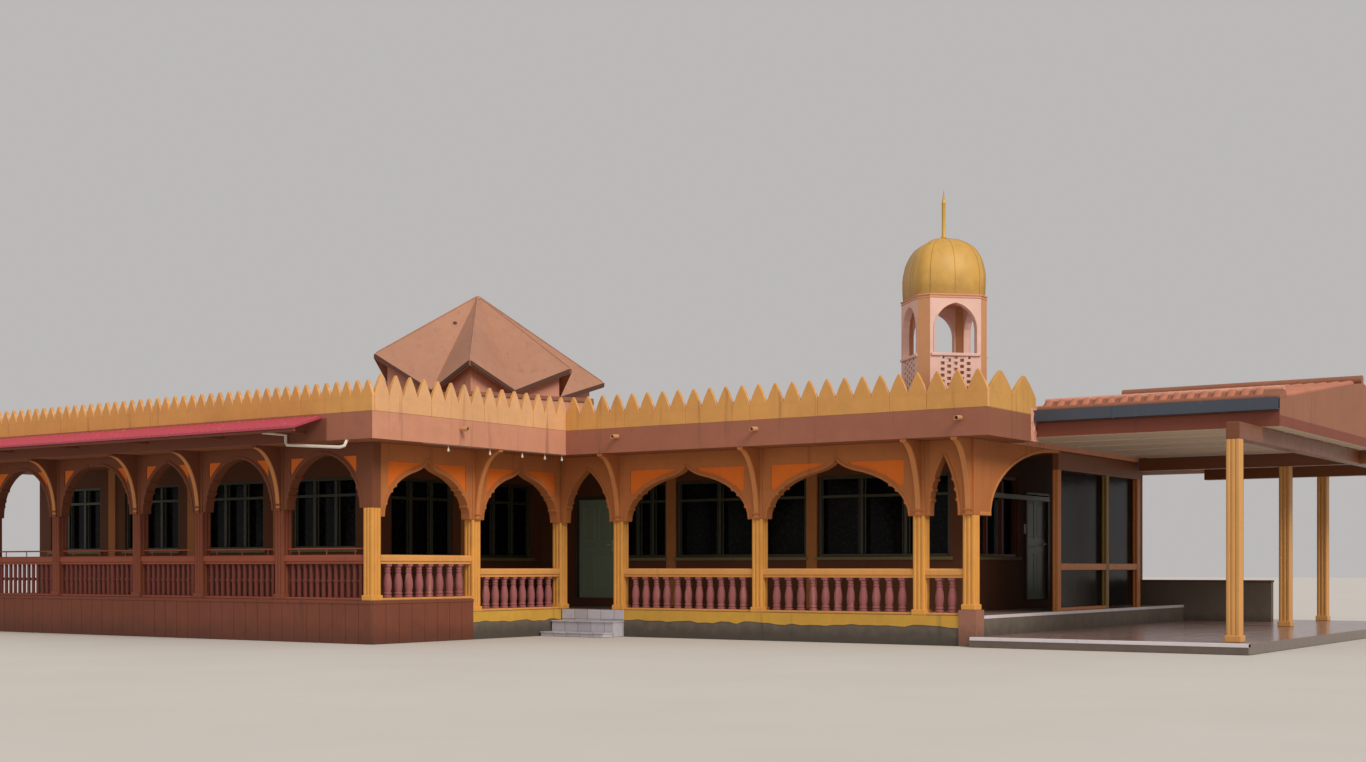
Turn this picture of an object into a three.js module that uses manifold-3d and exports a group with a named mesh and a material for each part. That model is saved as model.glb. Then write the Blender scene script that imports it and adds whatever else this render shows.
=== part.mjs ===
// Single-storey mosque building with arcaded verandas, a corner turret and a folded pyramid roof.
// Units are millimetres, +Z is up, and the front arcade faces -Y. Everything is laid out from the
// corner post where the return arcade meets the front arcade, and the finished group is then moved
// so that its origin is at the bottom centre of its bounding box.

import * as THREE from 'three';
import { mergeVertices } from 'three/addons/utils/BufferGeometryUtils.js';
import Module from 'manifold-3d';

const wasm = await Module();
wasm.setup();

// Gap between pieces that touch.
const gap = 0.3;

// Heights above the ground.
const plinthTop = 475;
const wingFloorTop = 700;
const railTop = 745;
const railDepth = 150;
const springing = 2060;
const archApex = 3020;
const wingSpringing = 2200;
const wingApex = 3100;
const soffit = 3260;
const roofTop = 3690;
const roofSkin = 140;
const hallStep = 150;

// Arcades. Bays are measured from post centre to post centre.
const postWidth = 200;
const arcadeThickness = 180;
const entranceBay = 1410;
const frontBays = [2950, 3045];
const narrowBay = 870;
const returnBays = [2420, 2420];
const wingBays = [2050, 2080, 2380, 1700, 2050, 2080];
const verandaDepth = 2420;
const archFlare = 80;
const finWidth = 110;
const pedestalWidth = 300;
const pedestalTop = 567;
const sideArchFoot = 420;
const sideArchRise = 1160;
const sideArchRun = 3230;

// Eaves, measured outwards from the post lines.
const eaves = 660;
const cornerParapetStart = 7820;
const sideEavesX = 8855;
const sideEavesEnd = 1200;
const spoutRadius = 32;
const spoutLength = 180;
const spoutDrop = 150;

// Hall.
const wallThickness = 150;
const hallRightX = 6950;
const hallBackY = 11600;
const windowWidth = 2100;
const frontWindows = [[-350, 700], [950, 3850], [4100, 6750]];
const sideWindow = { left: 350, right: 2350 };
const windowSill = 1430;
const windowHead = 2900;

// Doors. Each leaf turns on pins near its left edge.
const mainDoor = { centre: -1010, width: 960, height: 1980, sill: plinthTop + hallStep };
const sideDoor = { centre: 5780, width: 1000, height: 1980, sill: plinthTop + hallStep };
const doorClearance = 8;
const hingeClearance = 16;
const leafThickness = 45;
const leafFront = 40;
const pinRadius = 10;

// Parapets of pointed teeth.
const parapetThickness = 60;
const parapetBand = 270;
const toothHeight = 330;
const toothPitch = 326;
const cornerToothPitch = 345;
const sideToothPitch = 930;
const wingParapetBand = 255;
const wingToothHeight = 245;
const wingToothPitch = 231;

// Balustrades: turned balusters on the front, plain slats on the wing.
const balusterPitch = 238;
const balusterRadius = 70;
const slatPitch = 140;
const slatWidth = 62;
const slatDepth = 45;
const kerbHeight = 40;
const railWidth = 150;

// Turret.
const turretCentre = [7550, 510];
const turretWidth = 1155;
const turretChamfer = 153;
const turretWall = 110;
const turretSill = 4647;
const turretSpringing = 5035;
const turretApex = 5445;
const turretTop = 5590;
const turretOpening = 700;
const latticeColumns = 5;
const latticeRows = 6;
const latticePitch = { across: 108, down: 97 };
const latticeHole = { width: 66, height: 52 };
const latticeTop = turretSill - 67;
const domeHalf = 560;
const domeHeight = 983;
const spireRadius = 32;
const spireHeight = 800;

// Folded pyramid roof: six ridges run out to high prows, with low points between them. One prow is
// shorter and ends higher up.
const pyramidCentre = [-8200, 7000];
const pyramidTurn = -52.3;
const pyramidApex = 7940;
const prowHeight = 6010;
const lowHeight = 5440;
const prowReach = [2840, 2650, 3600, 2840, 2840, 2720];
const prowHeights = [prowHeight, prowHeight, prowHeight, prowHeight, prowHeight, 6330];
const lowReach = 1950;
const drumReach = 3250;
const drumTop = 5250;
const drumWall = 150;
const neckScale = 0.88;
const pyramidThickness = 120;

// Side porch.
const porchFloorTop = 155;
const porchFrontY = -400;
const porchRightX = 12700;
const porchBackY = 11600;
const porchBeamBottom = 2940;
const porchBeamTop = 3340;
const porchBeamDepth = 250;
const porchEavesTop = 3740;
const porchRidge = 4440;
const gutterBottom = 3580;
const gutterTop = 3760;
const gutterDepth = 130;
const porchPostWidth = 200;
const porchPosts = [[12340, 165], [11130, 7370], [10800, 11380]];
const screenStart = 3420;
const screenEnd = 7570;
const screenSplit = 0.58;
const screenBar = 110;
const screenRail = [1190, 1310];
const lowWallEnd = 10180;
const lowWallY = 9860;
const lowWallTop = 955;
const lowWallThickness = 160;

// Awning along the wing.
const awningTop = 3660;
const awningDrop = 200;
const awningReach = 620;
const awningThickness = 35;

// Plan positions that follow from the driving dimensions.
const quarter = Math.PI / 2;
const stationsOf = (bays) => bays.reduce((found, bay) => [...found, found[found.length - 1] + bay], [0]);
const frontBaysAll = [...frontBays, narrowBay];
const frontStations = stationsOf([entranceBay, ...frontBaysAll]);
const cornerX = frontStations[frontStations.length - 1];
const returnStations = stationsOf(returnBays);
const wingStations = stationsOf(wingBays);
const wingLine = -returnStations[returnStations.length - 1];
const wingLength = wingStations[wingStations.length - 1];
const wingLeft = -wingLength;
const wingWall = wingLine + verandaDepth;
const returnWall = -verandaDepth;
const edge = postWidth / 2 + 20;
const plinthRight = cornerX + pedestalWidth / 2;
const roofRight = cornerX + edge;
const roofBack = hallBackY + eaves / 3;
const wingPlinthBack = wingWall - edge;
const spouts = [
  [1820, -eaves, 0], [4700, -eaves, 0], [8400, -eaves, 0], [eaves, -3450, quarter]];

const colours = {
  concrete: 0x6b6055,
  wall: 0x9a5f30,
  ochre: 0xc0893a,
  fascia: 0xc98c6c,
  parapet: 0xd8a56a,
  baluster: 0x8a5550,
  slat: 0x5e2f2a,
  step: 0xb5b5bb,
  porchTile: 0x7d6a5e,
  glass: 0x1b2a2c,
  door: 0x8fa08c,
  turret: 0xd9a594,
  dome: 0xc39a48,
  roofTile: 0xc08a6c,
  awning: 0xb0505f,
  gutter: 0x5c6470,
  metal: 0xb08d3f,
};

function finish(name, roughness = 0.85, metalness = 0) {
  return new THREE.MeshStandardMaterial({ color: colours[name], roughness, metalness });
}

// A closed geometry as a solid that can be cut and joined.
function solid(geometry) {
  const bare = geometry.clone();
  bare.deleteAttribute('normal');
  bare.deleteAttribute('uv');
  const merged = mergeVertices(bare, 1e-3);
  return new wasm.Manifold(new wasm.Mesh({
    numProp: 3,
    vertProperties: new Float32Array(merged.attributes.position.array),
    triVerts: new Uint32Array(merged.index.array),
  }));
}

function geometryOf(body) {
  const cut = body.getMesh();
  const geometry = new THREE.BufferGeometry();
  geometry.setAttribute('position', new THREE.BufferAttribute(new Float32Array(cut.vertProperties), 3));
  geometry.setIndex(new THREE.BufferAttribute(new Uint32Array(cut.triVerts), 1));
  geometry.computeVertexNormals();
  return geometry;
}

function mesh(name, body, material) {
  const geometry = body.isBufferGeometry ? body : geometryOf(body);
  const piece = new THREE.Mesh(geometry, material);
  piece.name = name;
  return piece;
}

// A box given by its lowest and highest corners.
function block(low, high) {
  const size = high.map((value, axis) => value - low[axis]);
  const centre = high.map((value, axis) => (value + low[axis]) / 2);
  return new THREE.BoxGeometry(...size).translate(...centre);
}

// An outline in plan, raised from bottom to top.
function raised(points, bottom, top) {
  const shape = new THREE.Shape(points.map(([x, y]) => new THREE.Vector2(x, y)));
  const geometry = new THREE.ExtrudeGeometry(shape, { depth: top - bottom, bevelEnabled: false });
  return geometry.translate(0, 0, bottom);
}

// An outline in elevation (x along the wall, z up), given its thickness along y.
function upright(points, front, back) {
  const shape = new THREE.Shape(points.map(([x, z]) => new THREE.Vector2(x, z)));
  const geometry = new THREE.ExtrudeGeometry(shape, { depth: back - front, bevelEnabled: false });
  return geometry.rotateX(Math.PI / 2).translate(0, back, 0);
}

// Half of a cusped arch, from the springing at the left to the apex: a round haunch that turns
// back up into a pointed crown.
function cuspedHalf(halfSpan, rise, steps) {
  const haunch = { x: halfSpan * 0.74, z: rise * 0.80 };
  const points = [];
  for (let step = 0; step <= steps; step += 1) {
    const angle = (Math.PI / 2) * (step / steps) * 0.80;
    points.push([haunch.x * (1 - Math.cos(angle)) / (1 - Math.cos(Math.PI * 0.4)),
      haunch.z * Math.sin(angle) / Math.sin(Math.PI * 0.4)]);
  }
  points.push([halfSpan * 0.88, rise * 0.87], [halfSpan, rise]);
  return points;
}

// Half of a plain pointed arch: one circular arc from the springing to the apex.
function pointedHalf(halfSpan, rise, steps) {
  const radius = (halfSpan * halfSpan + rise * rise) / (2 * halfSpan);
  const end = Math.asin(rise / radius);
  const points = [];
  for (let step = 0; step <= steps; step += 1) {
    const angle = end * (step / steps);
    points.push([radius * (1 - Math.cos(angle)), radius * Math.sin(angle)]);
  }
  return points;
}

// The opening under an arch, as points from its left foot up over the crown to its right foot.
// The arch stands on capitals that reach past the posts by the flare.
function archOpening(left, right, foot, spring, apex, { cusped = false, flare = 0 } = {}) {
  const halfSpan = (right - left) / 2 - flare;
  const half = (cusped ? cuspedHalf : pointedHalf)(halfSpan, apex - spring, cusped ? 6 : 5);
  const rising = half.map(([x, z]) => [left + flare + x, spring + z]);
  const falling = half.slice(0, -1).reverse().map(([x, z]) => [right - flare - x, spring + z]);
  const [start, end] = flare > 0
    ? [[[left, foot], [left, spring]], [[right, spring], [right, foot]]]
    : [[[left, foot]], [[right, foot]]];
  return [...start, ...rising, ...falling, ...end];
}

// An arcade in its own frame: x along it, y inwards, with legs at the stations. A leg that is
// left out belongs to the arcade that meets this one there.
function arcade(stations, foot, spring, apex, options = {}) {
  const { firstLeg = true, lastLeg = true, brackets = stations, cuspedOver = 1800 } = options;
  const half = postWidth / 2;
  const last = stations[stations.length - 1];
  const start = firstLeg ? stations[0] - half : stations[0] + half + gap;
  const end = lastLeg ? last + half : last - half - gap;
  let body = solid(block([start, -arcadeThickness / 2, foot], [end, arcadeThickness / 2, soffit - gap]));
  stations.slice(0, -1).forEach((station, bay) => {
    const next = stations[bay + 1];
    const opening = archOpening(station + half, next - half, foot - 50, spring, apex,
      { cusped: next - station > cuspedOver, flare: archFlare });
    body = body.subtract(solid(upright(opening, -arcadeThickness, arcadeThickness)));
  });
  for (const station of brackets) {
    body = body.add(solid(bracket(station, spring)));
  }
  return body;
}

// A curved fin that carries the eaves, from the springing of a post out to the fascia.
function bracket(station, spring) {
  const reach = eaves - 130;
  const rise = soffit - gap - spring;
  const points = [[0, spring], [-arcadeThickness / 2, spring]];
  const steps = 6;
  for (let step = 1; step <= steps; step += 1) {
    const angle = (Math.PI / 2) * (step / steps);
    points.push([-arcadeThickness / 2 - reach * (1 - Math.cos(angle)),
      spring + (rise - 40) * Math.sin(angle)]);
  }
  points.push([-arcadeThickness / 2 - reach, spring + rise], [0, spring + rise]);
  const shape = new THREE.Shape(points.reverse().map(([y, z]) => new THREE.Vector2(y, z)));
  const geometry = new THREE.ExtrudeGeometry(shape, { depth: finWidth, bevelEnabled: false });
  geometry.rotateX(quarter).rotateZ(quarter);
  return geometry.translate(station - finWidth / 2, 0, 0);
}

// A turned baluster, sunk a little into what is above and below it.
function turnedBaluster(height, bury) {
  const radii = [[0, 1], [0.16, 0.8], [0.42, 1], [0.72, 0.6], [0.88, 0.7], [1, 0.95]];
  const profile = [new THREE.Vector2(0, -bury)];
  for (const [along, scale] of radii) {
    const rise = along === 0 ? -bury : along === 1 ? height + bury : along * height;
    profile.push(new THREE.Vector2(balusterRadius * scale, rise));
  }
  profile.push(new THREE.Vector2(0, height + bury));
  return new THREE.LatheGeometry(profile, 6).rotateX(quarter);
}

// One bay of balustrade: kerb, balusters or slats, and rail, joined.
function balustrade(length, floor, slats = false) {
  const railBottom = floor + railTop - railDepth;
  let body = solid(block([0, -railWidth / 2, floor + gap], [length, railWidth / 2, floor + kerbHeight]));
  body = body.add(solid(block([0, -railWidth / 2, railBottom], [length, railWidth / 2, floor + railTop])));
  const height = railBottom - floor - kerbHeight;
  const bury = 8;
  const upright = slats
    ? block([-slatWidth / 2, -slatDepth / 2, -bury], [slatWidth / 2, slatDepth / 2, height + bury])
    : turnedBaluster(height, bury);
  const count = Math.max(1, Math.round(length / (slats ? slatPitch : balusterPitch)) - 1);
  for (let index = 1; index <= count; index += 1) {
    const along = (length * index) / (count + 1);
    body = body.add(solid(upright.clone().translate(along, 0, floor + kerbHeight)));
  }
  return body;
}

// The height of a tooth at a share of its half width from its tip. Its sides bulge a little.
function toothSide(share) {
  return 1 - 0.7 * share - 0.3 * share * share;
}

// A parapet in its own frame: a plain band with pointed teeth along its top.
function parapet(length, band, height, pitch) {
  const count = Math.max(1, Math.round(length / pitch));
  const step = length / count;
  const bottom = roofTop + gap;
  const valley = roofTop + band;
  const bend = 0.6;
  const outline = [[0, bottom], [length, bottom], [length, valley]];
  for (let tooth = count - 1; tooth >= 0; tooth -= 1) {
    const tip = (tooth + 0.5) * step;
    outline.push([tip + bend * step / 2, valley + height * toothSide(bend)]);
    outline.push([tip, valley + height]);
    outline.push([tip - bend * step / 2, valley + height * toothSide(bend)]);
    outline.push([tip - step / 2, valley]);
  }
  return upright(outline, 0, parapetThickness);
}

// A wall in its own frame, outer face at y = 0, with its openings cut through.
function wall(length, bottom, openings) {
  let body = solid(block([0, 0, bottom], [length, wallThickness, soffit - gap]));
  for (const { left, right, low, high, pins } of openings) {
    body = body.subtract(solid(block([left, -50, low], [right, wallThickness + 50, high])));
    if (pins) {
      const height = doorClearance - gap;
      const pin = new THREE.CylinderGeometry(pinRadius, pinRadius, height + 10, 8).rotateX(quarter);
      const along = left + hingeClearance + leafThickness / 2;
      const across = leafFront + leafThickness / 2;
      body = body.add(solid(pin.clone().translate(along, across, low + height / 2 - 5)));
      body = body.add(solid(pin.clone().translate(along, across, high - height / 2 + 5)));
    }
  }
  return body;
}

// Evenly spread windows, centred on a wall.
function windowRow(length, count, width, low, high) {
  const pitch = length / count;
  return Array.from({ length: count }, (unused, index) => {
    const centre = pitch * (index + 0.5);
    return { left: centre - width / 2, right: centre + width / 2, low, high };
  });
}

// One sheet of glass behind all the windows of a wall.
function glazing(openings, name) {
  const left = Math.min(...openings.map((opening) => opening.left)) - 40;
  const right = Math.max(...openings.map((opening) => opening.right)) + 40;
  const low = Math.min(...openings.map((opening) => opening.low)) - 40;
  const high = Math.max(...openings.map((opening) => opening.high)) + 40;
  const front = wallThickness + gap;
  return mesh(name, block([left, front, low], [right, front + 12, high]), finish('glass', 0.15));
}

// A nested group that places a facade: x runs along it and y runs into the building.
function facade(x, y, turn, ...pieces) {
  const group = new THREE.Group();
  group.position.set(x, y, 0);
  group.rotation.z = turn;
  group.add(...pieces);
  return group;
}

// The space that the corner pedestal needs in the pieces around it.
function pedestalSpace(clear = gap) {
  const half = pedestalWidth / 2 + clear;
  return block([cornerX - half, -half, -gap], [cornerX + half, half, pedestalTop + clear]);
}

// Ground works: the two plinths, the entrance steps and the corner pedestal.
function groundWorks() {
  const mainOutline = [
    [wingLeft - edge, wingPlinthBack + gap], [edge, wingPlinthBack + gap], [edge, -edge],
    [plinthRight, -edge], [plinthRight, porchBackY], [wingLeft - edge, porchBackY]];
  const wingOutline = [
    [wingLeft - edge, wingLine - edge], [edge, wingLine - edge], [edge, wingPlinthBack],
    [wingLeft - edge, wingPlinthBack]];
  const tread = 320;
  const lower = 80;
  const upper = 275;
  const left = edge + 30;
  const right = entranceBay + 150;
  const back = -edge - gap;
  const main = solid(raised(mainOutline, 0, plinthTop)).subtract(solid(pedestalSpace()));
  const steps = solid(block([left, back - tread, 0], [right, back, upper]))
    .add(solid(block([left, back - 2 * tread, 0], [right, back - tread + 1, lower])));
  return [
    mesh('plinth_main', main, finish('concrete')),
    mesh('plinth_wing', raised(wingOutline, 0, wingFloorTop), finish('concrete')),
    mesh('entrance_steps', steps, finish('step')),
    mesh('corner_pedestal', pedestalSpace(0).translate(0, 0, gap), finish('turret')),
  ];
}

// The arcades, with the brackets that carry the eaves. The front one ends on the pedestal.
function arcades() {
  const stand = plinthTop + gap;
  const wingStand = wingFloorTop + gap;
  const front = arcade(frontStations, stand, springing, archApex, { brackets: frontStations.slice(1) })
    .subtract(solid(pedestalSpace()));
  const back = arcade(returnStations, stand, springing, archApex,
    { firstLeg: false, lastLeg: false, brackets: [returnBays[0]] });
  const wing = arcade(wingStations, wingStand, wingSpringing, wingApex,
    { brackets: wingStations.slice(0, -1), cuspedOver: 2500 });
  return [
    facade(0, 0, 0, mesh('arcade_front', front, finish('wall'))),
    facade(0, wingLine, quarter, mesh('arcade_return', back, finish('wall'))),
    facade(wingLeft, wingLine, 0, mesh('arcade_wing', wing, finish('wall'))),
  ];
}

// The balustrades between the posts. The entrance bay has none.
function balustrades() {
  const clear = postWidth + 2 * gap;
  const start = postWidth / 2 + gap;
  const turned = finish('baluster');
  const pieces = [];
  frontBaysAll.forEach((bay, index) => {
    const x = frontStations[index + 1] + start;
    const body = balustrade(bay - clear, plinthTop).subtract(solid(pedestalSpace().translate(-x, 0, 0)));
    pieces.push(facade(x, 0, 0, mesh(`balustrade_front_${index + 1}`, body, turned)));
  });
  const returnFloors = [wingFloorTop, plinthTop];
  returnBays.forEach((bay, index) => {
    pieces.push(facade(0, wingLine + returnStations[index] + start, quarter,
      mesh(`balustrade_return_${index + 1}`, balustrade(bay - clear, returnFloors[index]), turned)));
  });
  wingBays.forEach((bay, index) => {
    pieces.push(facade(wingLeft + wingStations[index] + start, wingLine, 0,
      mesh(`balustrade_wing_${index + 1}`, balustrade(bay - clear, wingFloorTop, true), finish('slat'))));
  });
  return pieces;
}

// The roof slab with its deep fascia, hollow above the hall, and short rain spouts through it.
function roof() {
  const outline = [
    [wingLeft - eaves, wingLine - eaves], [eaves, wingLine - eaves], [eaves, -eaves],
    [sideEavesX, -eaves], [sideEavesX, sideEavesEnd], [roofRight, sideEavesEnd],
    [roofRight, roofBack], [wingLeft - eaves, roofBack]];
  const inner = wallThickness + 50;
  const room = [
    [wingLeft + inner, wingWall + inner], [returnWall - inner, wingWall + inner],
    [returnWall - inner, verandaDepth + inner], [hallRightX - inner, verandaDepth + inner],
    [hallRightX - inner, hallBackY - inner], [wingLeft + inner, hallBackY - inner]];
  let slab = solid(raised(outline, soffit, roofTop))
    .subtract(solid(raised(room, soffit - 10, roofTop - roofSkin)));
  const spout = new THREE.CylinderGeometry(spoutRadius, spoutRadius, spoutLength, 8);
  for (const [x, y, turn] of spouts) {
    slab = slab.add(solid(spout.clone().rotateZ(turn).translate(x, y, roofTop - spoutDrop)));
  }
  return mesh('roof_slab', slab, finish('fascia'));
}

// The parapets on top of the slab, one to each side. The last teeth of the front and the two
// wide ones round the corner are pieces of their own.
function parapets() {
  const material = finish('parapet');
  const inset = parapetThickness + gap;
  const piece = (name, length, { band = parapetBand, height = toothHeight, pitch = toothPitch } = {}) => (
    mesh(name, parapet(length, band, height, pitch), material));
  const wing = { band: wingParapetBand, height: wingToothHeight, pitch: wingToothPitch };
  return [
    facade(wingLeft - eaves, wingLine - eaves, 0, piece('parapet_wing', wingLength + 2 * eaves, wing)),
    facade(eaves, wingLine - eaves + inset, quarter, piece('parapet_return', -wingLine - gap)),
    facade(eaves + gap, -eaves, 0, piece('parapet_front', cornerParapetStart - eaves - gap)),
    facade(cornerParapetStart + gap, -eaves, 0,
      piece('parapet_corner', sideEavesX - cornerParapetStart - gap, { pitch: cornerToothPitch })),
    facade(sideEavesX, -eaves + inset, quarter,
      piece('parapet_side', sideEavesEnd + eaves - inset, { pitch: sideToothPitch })),
    facade(roofRight, roofBack, 2 * quarter, piece('parapet_back', roofRight - wingLeft + eaves)),
    facade(wingLeft - eaves, roofBack - inset, -quarter,
      piece('parapet_west', roofBack - wingLine + eaves - 2 * inset)),
  ];
}

// The hall: walls with their doors and windows cut through, and a sheet of glass behind each.
function hall() {
  const bottom = plinthTop + gap;
  const low = windowSill;
  const high = windowHead;
  const narrow = windowWidth * 0.8;
  const join = wallThickness + gap;
  const material = finish('wall');
  const piece = (name, x, y, turn, length, openings, door) => {
    const cuts = door ? [door, ...openings] : openings;
    const parts = [mesh(`hall_wall_${name}`, wall(length, bottom, cuts), material)];
    if (openings.length > 0) parts.push(glazing(openings, `glazing_${name}`));
    return facade(x, y, turn, ...parts);
  };
  const frontStart = returnWall - wallThickness;
  const frontLength = hallRightX - frontStart;
  const frontRow = frontWindows.map(([left, right]) => (
    { left: left - frontStart, right: right - frontStart, low, high }));
  const returnLength = verandaDepth - wingWall - join - gap;
  const wingWallLength = returnWall - wingLeft;
  const rightLength = hallBackY - verandaDepth - 2 * join;
  const door = ({ centre, width, height, sill }, from) => ({
    left: centre - from - width / 2, right: centre - from + width / 2,
    low: sill, high: sill + height, pins: true,
  });
  return [
    piece('front', frontStart, verandaDepth, 0, frontLength, frontRow, door(mainDoor, frontStart)),
    piece('return', returnWall, wingWall + join, quarter, returnLength,
      windowRow(returnLength, 2, narrow, low, high)),
    piece('wing', wingLeft, wingWall, 0, wingWallLength,
      windowRow(wingWallLength, 4, narrow, low + 150, high)),
    piece('right', hallRightX, verandaDepth + join, quarter, rightLength,
      [{ ...sideWindow, low, high }], door(sideDoor, verandaDepth + join)),
    piece('back', hallRightX, hallBackY, 2 * quarter, hallRightX - wingLeft,
      windowRow(hallRightX - wingLeft, 7, windowWidth * 0.7, low, high)),
    piece('west', wingLeft, hallBackY - join, -quarter, hallBackY - wingWall - 2 * join,
      windowRow(hallBackY - wingWall - 2 * join, 4, narrow, low, high)),
  ];
}

// The two doors. Each leaf turns on pins in its sill and head, near its left edge, and swings
// into the hall.
function doors() {
  const leaf = ({ width, height, sill }, name) => mesh(name,
    block([hingeClearance, leafFront, sill + doorClearance],
      [width - doorClearance, leafFront + leafThickness, sill + height - doorClearance]),
    finish('door', 0.5));
  return [
    facade(mainDoor.centre - mainDoor.width / 2, verandaDepth, 0, leaf(mainDoor, 'main_door')),
    facade(hallRightX, sideDoor.centre - sideDoor.width / 2, quarter, leaf(sideDoor, 'side_door')),
  ];
}

// The plan of the turret: a square with its corners cut off, scaled from its centre.
function turretPlan(half, cut) {
  return [
    [-half + cut, -half], [half - cut, -half], [half, -half + cut], [half, half - cut],
    [half - cut, half], [-half + cut, half], [-half, half - cut], [-half, -half + cut]];
}

// A closed form through rings of one plan, each at its own scale and height, that ends in a point.
function lofted(plan, levels, apex) {
  const rings = levels.map(([scale, height]) => plan.map(([x, y]) => [x * scale, y * scale, height]));
  const triangles = [];
  const last = rings[rings.length - 1];
  plan.forEach((unused, index) => {
    const next = (index + 1) % plan.length;
    rings.slice(0, -1).forEach((ring, level) => {
      const upper = rings[level + 1];
      triangles.push(ring[index], ring[next], upper[next], ring[index], upper[next], upper[index]);
    });
    triangles.push(last[index], last[next], [0, 0, apex]);
    triangles.push(rings[0][next], rings[0][index], [0, 0, levels[0][1]]);
  });
  const form = new THREE.BufferGeometry();
  form.setAttribute('position', new THREE.Float32BufferAttribute(triangles.flat(), 3));
  form.computeVertexNormals();
  return form;
}

// The holes of the turret's lattice, in columns that step up and down in turn.
function latticeHoles(reach) {
  const holes = [];
  for (let column = 0; column < latticeColumns; column += 1) {
    const x = (column - (latticeColumns - 1) / 2) * latticePitch.across - latticeHole.width / 2;
    const shift = (column % 2) * (latticePitch.down / 2);
    for (let row = 0; row < latticeRows; row += 1) {
      const z = latticeTop - shift - row * latticePitch.down - latticeHole.height / 2;
      holes.push(solid(block([x, -reach, z], [x + latticeHole.width, reach, z + latticeHole.height])));
    }
  }
  return holes;
}

// The turret behind the corner parapet: a tower with pointed openings above a lattice of small
// holes, a dome of eight gores that follows its plan, and a thin spire.
function turret() {
  const half = turretWidth / 2;
  const plan = turretPlan(half, turretChamfer);
  const inner = turretPlan(half - turretWall, turretChamfer - turretWall / 2);
  let body = solid(raised(plan, roofTop + gap, turretTop))
    .subtract(solid(raised(inner, roofTop + 200, turretTop - 60)));
  const arch = archOpening(-turretOpening / 2, turretOpening / 2, turretSill, turretSpringing, turretApex);
  const opening = solid(upright(arch, -half - 50, half + 50));
  const holes = latticeHoles(half + 50);
  for (const turn of [0, 90]) {
    body = body.subtract(opening.rotate([0, 0, turn]));
    for (const small of holes) body = body.subtract(small.rotate([0, 0, turn]));
  }
  const swell = [
    [0.985, 0], [1, 0.2], [1, 0.33], [0.96, 0.5], [0.85, 0.66], [0.7, 0.83], [0.55, 0.9], [0.4, 0.95],
    [0.18, 0.985]];
  const levels = swell.map(([scale, height]) => [scale, turretTop + gap + height * domeHeight]);
  const domeTop = turretTop + gap + domeHeight;
  const domePlan = turretPlan(domeHalf, turretChamfer * (domeHalf / half));
  const spireProfile = [
    [0, 0], [1.5, 0], [1.5, 30], [1, 50], [1, spireHeight * 0.8], [0, spireHeight]]
    .map(([radius, rise]) => new THREE.Vector2(radius * spireRadius, rise));
  const spire = new THREE.LatheGeometry(spireProfile, 8).rotateX(quarter).translate(0, 0, domeTop + gap);
  return facade(...turretCentre, quarter / 2,
    mesh('turret_body', body, finish('turret')),
    mesh('turret_dome', solid(lofted(domePlan, levels, domeTop)), finish('dome', 0.55)),
    mesh('turret_spire', spire, finish('metal', 0.4, 0.6)));
}

// The star-shaped eaves of the pyramid, as prows and low points in turn, drawn in by a scale.
function pyramidRim(scale = 1) {
  const rim = [];
  for (let side = 0; side < 6; side += 1) {
    const turn = THREE.MathUtils.degToRad(pyramidTurn + side * 60);
    const prow = prowReach[side] * scale;
    const low = lowReach * scale;
    rim.push([prow * Math.cos(turn), prow * Math.sin(turn), prowHeights[side]]);
    rim.push([low * Math.cos(turn + Math.PI / 6), low * Math.sin(turn + Math.PI / 6), lowHeight]);
  }
  return rim;
}

// A solid between the folded surface, lowered by a drop, and a lid over each of its corners.
function folded(drop, lid) {
  const rim = pyramidRim();
  const apex = [0, 0, pyramidApex];
  const lowered = ([x, y, z]) => [x, y, z - drop];
  const triangles = [];
  rim.forEach((corner, index) => {
    const next = rim[(index + 1) % rim.length];
    triangles.push(lid(corner), lid(next), lid(apex));
    triangles.push(lowered(next), lowered(corner), lowered(apex));
    triangles.push(lid(corner), lowered(corner), lowered(next), lid(corner), lowered(next), lid(next));
  });
  const shell = new THREE.BufferGeometry();
  shell.setAttribute('position', new THREE.Float32BufferAttribute(triangles.flat(), 3));
  shell.computeVertexNormals();
  return solid(shell);
}

// The folded pyramid over the hall. Its hollow walls follow the star inside the eaves, on a wider
// hollow six-sided drum.
function pyramid() {
  const overhead = pyramidApex + 1000;
  const space = folded(pyramidThickness + gap, ([x, y]) => [x, y, overhead]);
  const drumPlan = (reach) => Array.from({ length: 6 }, (unused, side) => {
    const turn = THREE.MathUtils.degToRad(pyramidTurn + side * 60);
    return [reach * Math.cos(turn), reach * Math.sin(turn)];
  });
  const neckPlan = (scale) => pyramidRim(scale).map(([x, y]) => [x, y]);
  const neckInside = neckScale * (1 - drumWall / (lowReach * neckScale * 0.72));
  const drum = solid(raised(drumPlan(drumReach), roofTop + gap, drumTop))
    .add(solid(raised(neckPlan(neckScale), drumTop - drumWall, prowHeight + 600)).subtract(space))
    .subtract(solid(raised(
      drumPlan(drumReach - drumWall / Math.cos(Math.PI / 6)), roofTop, drumTop - drumWall)))
    .subtract(solid(raised(neckPlan(neckInside), drumTop - drumWall - 10, overhead)));
  return facade(...pyramidCentre, 0,
    mesh('roof_drum', drum, finish('turret')),
    mesh('pyramid_roof', folded(pyramidThickness, (corner) => corner), finish('roofTile')));
}

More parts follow.
